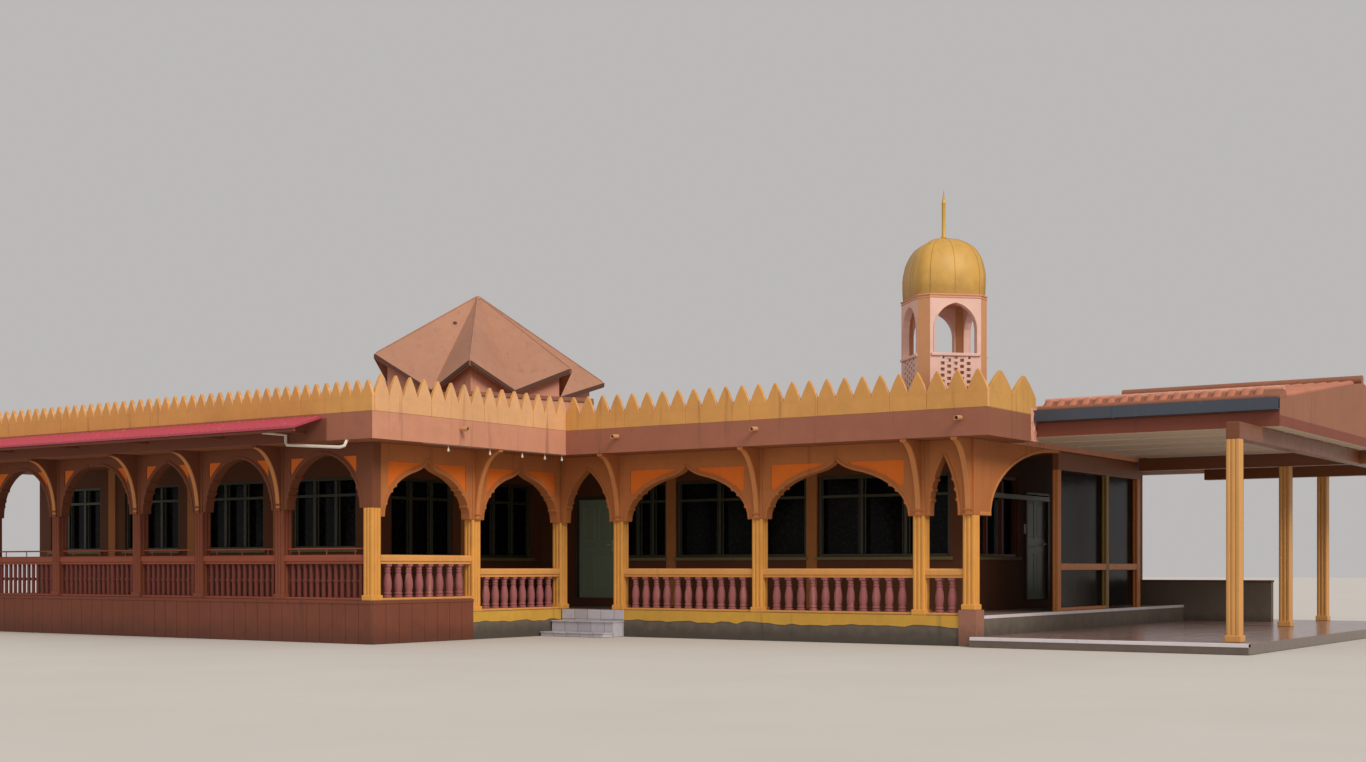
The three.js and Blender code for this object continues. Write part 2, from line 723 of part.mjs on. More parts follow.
// The side arch from the corner post back to the porch, and the glazed screen behind it.
function sideScreen() {
  const start = postWidth / 2 + gap;
  const run = screenStart - start;
  const foot = plinthTop + gap;
  const half = arcadeThickness / 2;
  const points = [[0, soffit - gap], [0, springing], [sideArchFoot, springing]];
  const steps = 8;
  for (let step = 1; step <= steps; step += 1) {
    const angle = quarter * (step / steps);
    points.push([sideArchFoot + (sideArchRun - sideArchFoot) * (1 - Math.cos(angle)),
      springing + sideArchRise * Math.sin(angle)]);
  }
  points.push([run, springing + sideArchRise], [run, soffit - gap]);
  const arch = upright(points.reverse(), -half, half);
  const length = screenEnd - screenStart;
  const bar = screenBar;
  let frame = solid(block([0, -bar / 2, foot], [length, bar / 2, soffit - gap]));
  const rows = [[foot + 60, screenRail[0]], [screenRail[1], porchBeamBottom]];
  const edges = [0, length * screenSplit, length];
  for (const [low, high] of rows) {
    for (let bay = 0; bay < edges.length - 1; bay += 1) {
      const pane = block([edges[bay] + bar, -bar, low], [edges[bay + 1] - bar / 2, bar, high]);
      frame = frame.subtract(solid(pane));
    }
  }
  const back = bar / 2 + gap;
  const glass = block([bar - 20, back, foot + 40], [length - bar / 2 + 20, back + 10, porchBeamBottom + 20]);
  return [
    facade(cornerX, start, quarter, mesh('arcade_side', arch, finish('wall'))),
    facade(cornerX, screenStart + gap, quarter, mesh('side_screen', frame, finish('ochre'))),
    facade(cornerX, screenStart + gap, quarter, mesh('screen_glass', glass, finish('glass', 0.15))),
  ];
}

// The frame of the porch: three posts, a beam that runs back over the outer one, and cross beams
// that run out from the building over the other two.
function porchFrame(left) {
  const half = porchPostWidth / 2;
  const top = porchBeamTop - gap;
  const [[outerX, outerY], ...others] = porchPosts;
  const back = others[others.length - 1][1] + half;
  const beamFoot = porchBeamTop - porchBeamDepth;
  let frame = solid(block([outerX - half, outerY - half, beamFoot], [outerX + half, back, top]));
  for (const [x, y] of porchPosts) {
    frame = frame.add(solid(block([x - half, y - half, porchFloorTop + gap], [x + half, y + half, top])));
  }
  for (const [, y] of others) {
    frame = frame.add(solid(block([left, y - half, beamFoot], [porchRightX, y + half, top])));
  }
  return frame;
}

// The porch on the right: tiled floor, frame, ceiling, ridged roof, gutter and a low wall that
// steps down from the plinth.
function porch() {
  const left = plinthRight + gap;
  const ceilingTop = porchBeamTop + 160;
  const front = sideEavesEnd + gap;
  const floor = block([left, porchFrontY, 0], [porchRightX, porchBackY, porchFloorTop]);
  const ceiling = block([roofRight + gap, front, porchBeamTop], [porchRightX, porchBackY, ceilingTop]);
  const section = [
    [front, ceilingTop + gap], [porchBackY, ceilingTop + gap], [porchBackY, porchEavesTop],
    [(front + porchBackY) / 2, porchRidge], [front, porchEavesTop]];
  const gable = new THREE.ExtrudeGeometry(
    new THREE.Shape(section.map(([y, z]) => new THREE.Vector2(y, z))),
    { depth: porchRightX - roofRight - gap, bevelEnabled: false });
  gable.rotateX(quarter).rotateZ(quarter).translate(roofRight + gap, 0, 0);
  const gutter = block([sideEavesX + gap, sideEavesEnd - gutterDepth, gutterBottom],
    [porchRightX, sideEavesEnd, gutterTop]);
  const wallBack = lowWallY + lowWallThickness;
  const lowWall = solid(
    block([hallRightX + gap, lowWallY, plinthTop + gap], [lowWallEnd, wallBack, lowWallTop]))
    .add(solid(block([left, lowWallY, porchFloorTop + gap], [lowWallEnd, wallBack, lowWallTop])));
  return [
    mesh('porch_floor', floor, finish('porchTile', 0.45)),
    mesh('porch_frame', porchFrame(roofRight + gap), finish('ochre')),
    mesh('porch_ceiling', ceiling, finish('fascia')),
    mesh('porch_roof', gable, finish('roofTile')),
    mesh('porch_gutter', gutter, finish('gutter', 0.5)),
    mesh('porch_low_wall', lowWall, finish('concrete')),
  ];
}

// The sloping awning along the wing.
function wingTrim() {
  const front = wingLine - eaves - gap;
  const awning = new THREE.Shape([
    new THREE.Vector2(front, awningTop), new THREE.Vector2(front, awningTop - awningThickness),
    new THREE.Vector2(front - awningReach, awningTop - awningDrop - awningThickness),
    new THREE.Vector2(front - awningReach, awningTop - awningDrop)]);
  const length = wingLength + eaves - 500;
  const sheet = new THREE.ExtrudeGeometry(awning, { depth: length, bevelEnabled: false });
  sheet.rotateX(quarter).rotateZ(quarter).translate(wingLeft - eaves + 50, 0, 0);
  return [mesh('wing_awning', sheet, finish('awning', 0.6))];
}

const mosque = new THREE.Group();
mosque.add(...groundWorks(), ...arcades(), ...balustrades(), roof(), ...parapets(), ...hall(), ...doors());
mosque.add(turret(), pyramid(), ...sideScreen(), ...porch(), ...wingTrim());

const bounds = new THREE.Box3().setFromObject(mosque);
const middle = bounds.getCenter(new THREE.Vector3());
mosque.position.set(-middle.x, -middle.y, -bounds.min.z);

export default mosque;
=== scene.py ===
"""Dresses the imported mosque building: its plaster, arcades, parapets, turret, roofs and porch.

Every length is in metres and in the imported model's own frame. Each facade is modelled in a frame
of its own, with x along it, y into the building and z up, and is then put in its place.
"""

from __future__ import annotations

import logging
import math
import random
from dataclasses import dataclass, field
from enum import Enum
from typing import Any, Sequence

import bpy
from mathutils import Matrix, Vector

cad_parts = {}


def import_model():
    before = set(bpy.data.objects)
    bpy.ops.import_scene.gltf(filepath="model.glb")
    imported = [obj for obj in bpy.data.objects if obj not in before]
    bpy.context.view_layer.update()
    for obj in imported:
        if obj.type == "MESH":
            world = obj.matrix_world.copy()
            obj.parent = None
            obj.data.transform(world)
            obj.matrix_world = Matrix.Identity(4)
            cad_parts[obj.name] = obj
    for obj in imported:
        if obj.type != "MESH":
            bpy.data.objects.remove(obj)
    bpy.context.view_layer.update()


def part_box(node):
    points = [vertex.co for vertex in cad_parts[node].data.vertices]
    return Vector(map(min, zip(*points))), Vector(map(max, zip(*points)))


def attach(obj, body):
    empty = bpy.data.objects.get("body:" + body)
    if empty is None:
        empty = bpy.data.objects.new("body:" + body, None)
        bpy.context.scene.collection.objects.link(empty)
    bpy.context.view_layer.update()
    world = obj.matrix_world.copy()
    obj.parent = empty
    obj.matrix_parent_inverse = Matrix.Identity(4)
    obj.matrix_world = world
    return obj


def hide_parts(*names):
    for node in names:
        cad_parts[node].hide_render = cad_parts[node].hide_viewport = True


LOG = logging.getLogger("mosque")
BODY = "building"
FRONT_WINDOWS = ((2.22, 3.27), (3.52, 6.42), (6.67, 9.32))

Point = Sequence[float]
Colour = tuple[float, float, float]
Outline = list[tuple[float, float]]
Piece = bpy.types.Object


def rgb(red: int, green: int, blue: int) -> Colour:
    """Turns a screen colour of 0 to 255 into the linear colour that shaders use."""
    return tuple((c / 255 / 12.92) if c <= 10 else ((c / 255 + 0.055) / 1.055) ** 2.4
                 for c in (red, green, blue))


class Value:
    """A number that varies over a surface, held as a shader socket."""

    def __init__(self, graph: Graph, socket: Any) -> None:
        """Keeps the graph that the socket belongs to.

        Args:
            graph: The material's graph.
            socket: The output socket that carries the number.
        """
        self.graph = graph
        self.socket = socket

    def _maths(self, operation: str, *values: Any, clamp: bool = False) -> Value:
        """Adds one Math node.

        Args:
            operation: The node's operation.
            values: Its inputs, as numbers or values.
            clamp: Whether the result is held between 0 and 1.

        Returns:
            The node's result.
        """
        node = self.graph.node("ShaderNodeMath", {"operation": operation, "use_clamp": clamp},
                               dict(enumerate(values)))
        return Value(self.graph, node.outputs[0])

    def __add__(self, other: Any) -> Value:
        """Adds."""
        return self._maths("ADD", self, other)

    def __sub__(self, other: Any) -> Value:
        """Subtracts."""
        return self._maths("SUBTRACT", self, other)

    def __rsub__(self, other: Any) -> Value:
        """Subtracts from a number."""
        return self._maths("SUBTRACT", other, self)

    def __mul__(self, other: Any) -> Value:
        """Multiplies."""
        return self._maths("MULTIPLY", self, other)

    def __gt__(self, other: Any) -> Value:
        """One where this is greater, else nought."""
        return self._maths("GREATER_THAN", self, other)

    def __lt__(self, other: Any) -> Value:
        """One where this is less, else nought."""
        return self._maths("LESS_THAN", self, other)

    def clamped(self) -> Value:
        """The value held between 0 and 1."""
        return self._maths("ADD", self, 0.0, clamp=True)

    def wrapped(self, pitch: float) -> Value:
        """The distance along the present repeat of a pattern."""
        return self._maths("WRAP", self, pitch, 0.0)

    def absolute(self) -> Value:
        """The value without its sign."""
        return self._maths("ABSOLUTE", self)

    def most(self, other: Any) -> Value:
        """The greater of two values."""
        return self._maths("MAXIMUM", self, other)

    def between(self, low: float, high: float) -> Value:
        """Nought at the low end and one at the high end, smoothly.

        Args:
            low: Where the result is nought.
            high: Where the result is one.

        Returns:
            The eased share of the way.
        """
        settings = {"interpolation_type": "SMOOTHSTEP", "clamp": True}
        node = self.graph.node("ShaderNodeMapRange", settings,
                               {"Value": self, "From Min": low, "From Max": high})
        return Value(self.graph, node.outputs["Result"])


class Graph:
    """One material's nodes, from its coordinates to its surface."""

    def __init__(self, name: str) -> None:
        """Starts an empty material.

        Args:
            name: The material's name.
        """
        self.material = bpy.data.materials.new(name)
        self.material.use_nodes = True
        self.tree = self.material.node_tree
        self.tree.nodes.clear()
        self.place = self.node("ShaderNodeTexCoord").outputs["Object"]

    def node(self, kind: str, settings: dict[str, Any] | None = None,
             inputs: dict[Any, Any] | None = None) -> Any:
        """Adds one node.

        Args:
            kind: The node's type.
            settings: Its settings.
            inputs: Values, values of this graph, or sockets, by input name or number.

        Returns:
            The new node.
        """
        node = self.tree.nodes.new(kind)
        for key, setting in (settings or {}).items():
            setattr(node, key, setting)
        for key, given in (inputs or {}).items():
            given = given.socket if isinstance(given, Value) else given
            if isinstance(given, bpy.types.NodeSocket):
                self.tree.links.new(given, node.inputs[key])
            elif isinstance(given, tuple) and len(given) == 3 and node.inputs[key].type == "RGBA":
                node.inputs[key].default_value = (*given, 1.0)
            else:
                node.inputs[key].default_value = given
        return node

    def stretched(self, scale: Point) -> Any:
        """The object's coordinates multiplied along each axis.

        Args:
            scale: The three factors.

        Returns:
            The vector socket.
        """
        node = self.node("ShaderNodeVectorMath", {"operation": "MULTIPLY"}, {0: self.place, 1: tuple(scale)})
        return node.outputs[0]

    def axis(self, letter: str, vector: Any = None) -> Value:
        """One coordinate of a vector, or of the place on the object.

        Args:
            letter: X, Y or Z.
            vector: The vector socket, if it isn't the place.

        Returns:
            The coordinate.
        """
        node = self.node("ShaderNodeSeparateXYZ", {}, {0: vector or self.place})
        return Value(self, node.outputs[letter])

    def facing(self, letter: str) -> Value:
        """One coordinate of the surface's own direction."""
        return self.axis(letter, self.node("ShaderNodeNewGeometry").outputs["Normal"])

    def noise(self, scale: float, detail: float = 4.0, rough: float = 0.55, vector: Any = None) -> Value:
        """A cloudy pattern.

        Args:
            scale: Clouds to the metre.
            detail: Octaves.
            rough: Strength of the finer octaves.
            vector: Other coordinates than the object's own.

        Returns:
            The pattern, about 0.5.
        """
        inputs = {"Vector": vector or self.place, "Scale": scale, "Detail": detail, "Roughness": rough}
        return Value(self, self.node("ShaderNodeTexNoise", {}, inputs).outputs[0])

    def mix(self, factor: Any, low: Any, high: Any) -> Any:
        """Blends two colours.

        Args:
            factor: The share of the second colour.
            low: The first colour.
            high: The second colour.

        Returns:
            The colour socket.
        """
        node = self.node("ShaderNodeMix", {"data_type": "RGBA"}, {0: factor, 6: low, 7: high})
        return node.outputs[2]

    def bump(self, height: Value, depth: float, before: Any = None) -> Any:
        """Turns a height into a bent normal.

        Args:
            height: The height, from 0 to 1.
            depth: Its size in metres.
            before: A normal to bend further.

        Returns:
            The normal socket.
        """
        inputs = {"Height": height, "Distance": depth, "Strength": 1.0}
        if before is not None:
            inputs["Normal"] = before
        return self.node("ShaderNodeBump", {}, inputs).outputs[0]

    def surface(self, inputs: dict[str, Any]) -> bpy.types.Material:
        """Ends the material in one surface shader.

        Args:
            inputs: The shader's inputs by name.

        Returns:
            The finished material.
        """
        shader = self.node("ShaderNodeBsdfPrincipled", {}, inputs)
        self.node("ShaderNodeOutputMaterial", {}, {"Surface": shader.outputs[0]})
        return self.material


@dataclass(frozen=True)
class Finish:
    """A surface finish. Each kind of finish makes its own nodes."""

    name: str
    slot: str
    colour: Colour

    def nodes(self, graph: Graph) -> bpy.types.Material:
        """Makes the material's nodes in a graph and returns the material."""
        raise NotImplementedError

    def material(self) -> bpy.types.Material:
        """The finish's material, made once."""
        return bpy.data.materials.get(self.name) or self.nodes(Graph(self.name))


@dataclass(frozen=True)
class Plaster(Finish):
    """Painted plaster or concrete with blotches, rain streaks and dirt near the ground. On some finishes its
    under colour is painted shade and its side colour is painted light.
    """

    worn: Colour = rgb(120, 96, 80)
    blotch: float = 0.5
    streaks: float = 0.3
    splash: float = 0.0
    foot: float = 0.0
    roughness: float = 0.82
    grain: float = 0.004
    # Colour of downward faces: painted shade under the fascia and the pyramid roof, and the soffit's own pale
    # paint on the porch ceiling.
    under: Colour | None = None
    top: Colour | None = None
    # Colour of faces turned to side_axes: painted light on the fascia's and parapet's X faces, and the
    # chamfers' own second colour on the turret.
    side: Colour | None = None
    side_axes: str = "X"

    @staticmethod
    def blotched(graph: Graph, shade: Value, colour: Colour) -> Any:
        """A colour between its darker and its lighter blotches."""
        return graph.mix(shade, tuple(c * 0.72 for c in colour), tuple(min(1.0, c * 1.16) for c in colour))

    def nodes(self, graph: Graph) -> bpy.types.Material:
        """Makes the nodes.

        Args:
            graph: The material's graph.

        Returns:
            The material.
        """
        broad = graph.noise(0.7, 5.0)
        patchy = graph.noise(5.0, 6.0, 0.62)
        fine = graph.noise(70.0, 4.0)
        shade = ((broad - 0.5) * 1.3 + (patchy - 0.5) * 1.1 + 0.5).clamped()
        shade = shade * self.blotch + (0.5 - self.blotch / 2)
        colour = self.blotched(graph, shade, self.colour)
        # Painted light on the fascia and parapet: faces turned to the side axes are painted brighter, as if
        # lit from that side. On the turret this is the chamfers' own colour.
        if self.side is not None:
            for letter in self.side_axes:
                turned = graph.facing(letter).absolute() > 0.9
                colour = graph.mix(turned, colour, self.blotched(graph, shade, self.side))
        worn_by = graph.noise(1.0, 5.0, 0.6, graph.stretched((7.0, 7.0, 0.45))).between(0.56, 0.74)
        colour = graph.mix((worn_by * self.streaks * (patchy + 0.35)).clamped(), colour, self.worn)
        if self.splash > 0:
            low = 1.0 - (graph.axis("Z") - self.foot + (patchy - 0.5) * 0.35).between(0.03, 0.42)
            colour = graph.mix(low * self.splash, colour, self.worn)
        # Painted shade on the fascia and pyramid roof: downward faces take the darker under colour. On the
        # porch ceiling it is the soffit's own pale paint.
        if self.under is not None:
            colour = graph.mix(graph.facing("Z") < -0.6, colour, self.under)
        if self.top is not None:
            aged = graph.mix(patchy, tuple(c * 0.6 for c in self.top), self.top)
            colour = graph.mix(graph.facing("Z") > 0.75, colour, aged)
        rough = (patchy - 0.5) * 0.25 + self.roughness
        height = fine * 0.35 + patchy * 0.65
        return graph.surface({"Base Color": colour, "Roughness": rough.clamped(),
                              "Normal": graph.bump(height, self.grain)})


@dataclass(frozen=True)
class Gloss(Finish):
    """Brushed gloss paint on timber or metal, with fine brush lines and rubbed patches."""

    rubbed: Colour = rgb(90, 70, 50)
    roughness: float = 0.42
    metallic: float = 0.0
    wear: float = 0.25
    lines: Point = (40.0, 40.0, 2.5)

    def nodes(self, graph: Graph) -> bpy.types.Material:
        """Makes the nodes.

        Args:
            graph: The material's graph.

        Returns:
            The material.
        """
        brushed = graph.noise(1.0, 3.0, 0.5, graph.stretched(self.lines))
        patchy = graph.noise(6.0, 6.0, 0.65)
        colour = graph.mix((brushed * 0.6 + patchy * 0.4), tuple(c * 0.78 for c in self.colour),
                           tuple(min(1.0, c * 1.15) for c in self.colour))
        colour = graph.mix(patchy.between(0.60, 0.78) * self.wear, colour, self.rubbed)
        rough = (patchy - 0.5) * 0.35 + self.roughness
        return graph.surface({"Base Color": colour, "Roughness": rough.clamped(), "Metallic": self.metallic,
                              "Normal": graph.bump(brushed, 0.0012)})


@dataclass(frozen=True)
class Tiles(Finish):
    """Square tiles with grout, each of its own shade."""

    grout: Colour = rgb(96, 84, 74)
    pitch: float = 0.3
    joint: float = 0.004
    roughness: float = 0.28
    side: Colour | None = None

    def nodes(self, graph: Graph) -> bpy.types.Material:
        """Makes the nodes.

        Args:
            graph: The material's graph.

        Returns:
            The material.
        """
        seam: Value | None = None
        for letter in "XYZ":
            along = graph.axis(letter).wrapped(self.pitch)
            near = (along - self.pitch / 2).absolute() > (self.pitch / 2 - self.joint)
            near = near * (graph.facing(letter).absolute() < 0.7)
            seam = near if seam is None else seam.most(near)
        snapped = graph.node("ShaderNodeVectorMath", {"operation": "SNAP"},
                             {0: graph.place, 1: (self.pitch,) * 3})
        shade = Value(graph, graph.node("ShaderNodeTexWhiteNoise", {},
                                        {"Vector": snapped.outputs[0]}).outputs["Value"])
        cloud = graph.noise(9.0, 6.0, 0.6)
        colour = graph.mix((shade * 0.55 + cloud * 0.45), tuple(c * 0.72 for c in self.colour),
                           tuple(min(1.0, c * 1.2) for c in self.colour))
        colour = graph.mix(seam, colour, self.grout)
        if self.side is not None:
            aged = graph.mix(cloud, tuple(c * 0.6 for c in self.side), self.side)
            colour = graph.mix(graph.facing("Z") < 0.7, colour, aged)
        rough = (seam * 0.4 + cloud * 0.25 + (self.roughness - 0.1)).clamped()
        return graph.surface({"Base Color": colour, "Roughness": rough,
                              "Normal": graph.bump(1.0 - seam, 0.0015)})


@dataclass(frozen=True)
class Glass(Finish):
    """Dark tinted window glass with dust and a slight waviness."""

    dust: Colour = rgb(112, 108, 96)

    def nodes(self, graph: Graph) -> bpy.types.Material:
        """Makes the nodes.

        Args:
            graph: The material's graph.

        Returns:
            The material.
        """
        wavy = graph.noise(1.6, 2.0)
        film = graph.noise(14.0, 7.0, 0.7)
        colour = graph.mix((film.between(0.45, 0.85) * 0.22), self.colour, self.dust)
        return graph.surface({"Base Color": colour, "Roughness": (film * 0.12 + 0.10).clamped(),
                              "Specular IOR Level": 0.08, "Normal": graph.bump(wavy, 0.004)})


class Paint(Enum):
    """The finishes of the building."""

    PLINTH = Plaster("plinth grey", "plinth_concrete", rgb(112, 102, 92), worn=rgb(60, 54, 48), streaks=0.55,
                     splash=0.75, roughness=0.9, grain=0.012, top=rgb(128, 106, 92))
    KERB = Plaster("kerb yellow", "plinth_concrete", rgb(204, 158, 62), worn=rgb(110, 88, 50), blotch=0.7,
                   streaks=0.5, grain=0.006)
    BOARD = Plaster("base boards", "plinth_concrete", rgb(122, 66, 46), worn=rgb(64, 38, 30), blotch=0.7,
                    streaks=0.5, splash=0.5)
    STEP = Tiles("step tile", "step_concrete", rgb(190, 188, 198), grout=rgb(96, 92, 90), pitch=0.3)
    PEDESTAL = Plaster("pedestal", "turret_plaster", rgb(156, 108, 88), worn=rgb(86, 64, 54), splash=0.6)
    WING_ARCH = Plaster("wing arch brown", "wall_plaster", rgb(120, 66, 38), worn=rgb(76, 42, 28), blotch=0.5,
                        streaks=0.35)
    ARCH = Plaster("arch brown", "wall_plaster", rgb(178, 108, 56), worn=rgb(104, 62, 34), blotch=0.6,
                   streaks=0.35)
    BAND = Plaster("band tan", "wall_plaster", rgb(200, 130, 72), worn=rgb(126, 78, 48), blotch=0.5,
                   streaks=0.3)
    # Painted light: the spandrel panels' bright orange stands in for sunlight falling there.
    PANEL = Plaster("panel orange painted light", "wall_plaster", rgb(226, 112, 22), worn=rgb(150, 74, 24), blotch=0.5,
                    streaks=0.2)
    POST = Plaster("post ochre", "wall_plaster", rgb(222, 158, 74), worn=rgb(140, 88, 42), blotch=0.6,
                   streaks=0.45)
    WING_POST = Plaster("post brown", "wall_plaster", rgb(128, 66, 42), worn=rgb(78, 42, 30), blotch=0.5,
                        streaks=0.4)
    RAIL = Plaster("rail ochre", "baluster_plaster", rgb(220, 156, 84), worn=rgb(140, 90, 50), blotch=0.6,
                   streaks=0.3)
    BALUSTER = Plaster("baluster maroon", "baluster_plaster", rgb(150, 88, 88), worn=rgb(212, 160, 140),
                       blotch=0.9, streaks=0.6)
    SLAT = Plaster("slat maroon", "baluster_plaster", rgb(118, 56, 48), worn=rgb(64, 36, 32), blotch=0.7,
                   streaks=0.4)
    WING_RAIL = Plaster("wing rail brown", "baluster_plaster", rgb(150, 76, 54), worn=rgb(86, 46, 36),
                        streaks=0.3)
    # Painted shade and light: the fascia's brown underside is painted shade, and its brighter X faces are
    # painted light.
    FASCIA = Plaster("fascia salmon", "fascia_plaster", rgb(160, 100, 78), worn=rgb(100, 70, 56), blotch=0.6,
                     streaks=0.5, under=rgb(142, 84, 46), top=rgb(140, 128, 116), side=rgb(206, 144, 116))
    FASCIA_SHADE = Plaster("fascia brown", "fascia_plaster", rgb(142, 88, 66), worn=rgb(92, 62, 50),
                           blotch=0.6, streaks=0.5)
    # Eaves brown; on the board over the wing's fascia it is painted shade.
    EAVES = Plaster("eaves brown", "fascia_plaster", rgb(120, 68, 46), worn=rgb(70, 44, 34), streaks=0.4)
    ROUGH = Plaster("broken plaster", "fascia_plaster", rgb(220, 160, 138), worn=rgb(140, 92, 76), blotch=1.0,
                    grain=0.03)
    # Painted light: the parapet's X faces are painted brighter.
    PARAPET = Plaster("parapet ochre", "parapet_plaster", rgb(214, 156, 86), worn=rgb(142, 96, 56),
                      blotch=0.6, streaks=0.65, side=rgb(224, 172, 124))
    PARAPET_SIDE = Plaster("side parapet ochre", "parapet_plaster", rgb(204, 154, 82), worn=rgb(136, 96, 56),
                           blotch=0.6, streaks=0.65)
    TURRET = Plaster("turret pink", "turret_plaster", rgb(232, 190, 178), worn=rgb(166, 126, 112), blotch=0.5,
                     streaks=0.5, side=rgb(206, 148, 104), side_axes="XY")
    DRUM = Plaster("drum pink", "turret_plaster", rgb(206, 146, 122), worn=rgb(130, 92, 78), blotch=0.5,
                   streaks=0.5)
    CORNER = Plaster("turret tan", "turret_plaster", rgb(212, 150, 112), worn=rgb(150, 100, 72), blotch=0.5,
                     streaks=0.4)
    DOME = Plaster("dome gold", "dome_paint", rgb(206, 160, 76), worn=rgb(140, 102, 50), blotch=0.7,
                   streaks=0.6, splash=0.45, foot=5.52, roughness=0.5, grain=0.003)
    SEAM = Gloss("dome seam", "dome_paint", rgb(178, 136, 64), roughness=0.6)
    SPIRE = Gloss("spire gold", "spire_metal", rgb(206, 164, 72), roughness=0.5, metallic=0.2)
    # Painted shade: the roof's underside is painted darker.
    ROOF = Plaster("roof salmon", "roof_tile", rgb(178, 130, 106), worn=rgb(124, 90, 74), blotch=0.6,
                   streaks=0.4, under=rgb(104, 66, 50))
    # Painted shade: dark brown for the pyramid's eave boards and vent.
    EAVE_BOARD = Plaster("eave board shade", "roof_tile", rgb(88, 56, 44), worn=rgb(54, 36, 30), blotch=0.6,
                         streaks=0.3)
    EDGE = Plaster("roof edge", "roof_tile", rgb(150, 98, 74), worn=rgb(84, 56, 46), blotch=0.7, streaks=0.4)
    CLAY = Plaster("clay tile", "roof_tile", rgb(186, 118, 92), worn=rgb(100, 70, 58), blotch=0.9,
                   streaks=0.3)
    AWNING = Gloss("awning red", "awning_sheet", rgb(178, 64, 82), rubbed=rgb(206, 140, 140), roughness=0.5,
                   wear=0.5)
    GUTTER = Gloss("gutter grey", "gutter_metal", rgb(66, 74, 88), rubbed=rgb(120, 124, 130), roughness=0.45)
    TILE = Tiles("porch tile", "porch_tile", rgb(142, 116, 110), grout=rgb(98, 82, 78), pitch=0.4,
                 roughness=0.16, side=rgb(112, 98, 90))
    NOSING = Plaster("nosing white", "porch_tile", rgb(220, 214, 220), worn=rgb(140, 132, 128), blotch=0.4,
                     roughness=0.5)
    CEILING = Plaster("porch ceiling", "fascia_plaster", rgb(126, 66, 50), worn=rgb(70, 42, 34), streaks=0.3,
                      under=rgb(214, 196, 168))
    WOOD = Gloss("timber ochre", "timber_ochre", rgb(210, 154, 86), rubbed=rgb(148, 92, 48), wear=0.6,
                 lines=(30.0, 30.0, 1.6))
    SCREEN = Gloss("screen ochre", "timber_ochre", rgb(196, 122, 56), rubbed=rgb(118, 66, 34), wear=0.5,
                   lines=(30.0, 30.0, 1.6))
    MIDDLE_POST = Gloss("post olive", "timber_ochre", rgb(146, 118, 62), rubbed=rgb(96, 78, 44), wear=0.5,
                        lines=(30.0, 30.0, 1.6))
    BEAM = Gloss("timber brown", "timber_ochre", rgb(118, 66, 32), rubbed=rgb(78, 44, 26), wear=0.5,
                 lines=(3.0, 3.0, 30.0))
    FRAME = Gloss("frame olive", "timber_ochre", rgb(66, 66, 48), rubbed=rgb(40, 40, 32), wear=0.4)
    FRAME_RED = Gloss("frame red brown", "timber_ochre", rgb(110, 52, 34), rubbed=rgb(66, 34, 26), wear=0.4)
    SILL = Plaster("sill olive", "wall_plaster", rgb(140, 126, 84), worn=rgb(88, 80, 56), blotch=0.5)
    GLASS = Glass("window glass", "window_glass", rgb(6, 9, 11))
    HALL = Plaster("hall brown", "wall_plaster", rgb(112, 66, 38), worn=rgb(66, 40, 26), blotch=0.5,
                   streaks=0.3)
    DOOR = Gloss("door pale green", "door_paint", rgb(150, 166, 140), rubbed=rgb(100, 108, 88), roughness=0.4)
    SPOUT = Plaster("spout tan", "gutter_metal", rgb(202, 152, 110), worn=rgb(134, 98, 72), blotch=0.4,
                    grain=0.0006)
    PIPE = Plaster("pipe white", "gutter_metal", rgb(228, 220, 204), worn=rgb(160, 146, 126), blotch=0.4,
                   roughness=0.4, grain=0.0006)

    def material(self) -> bpy.types.Material:
        """The finish's material."""
        return self.value.material()


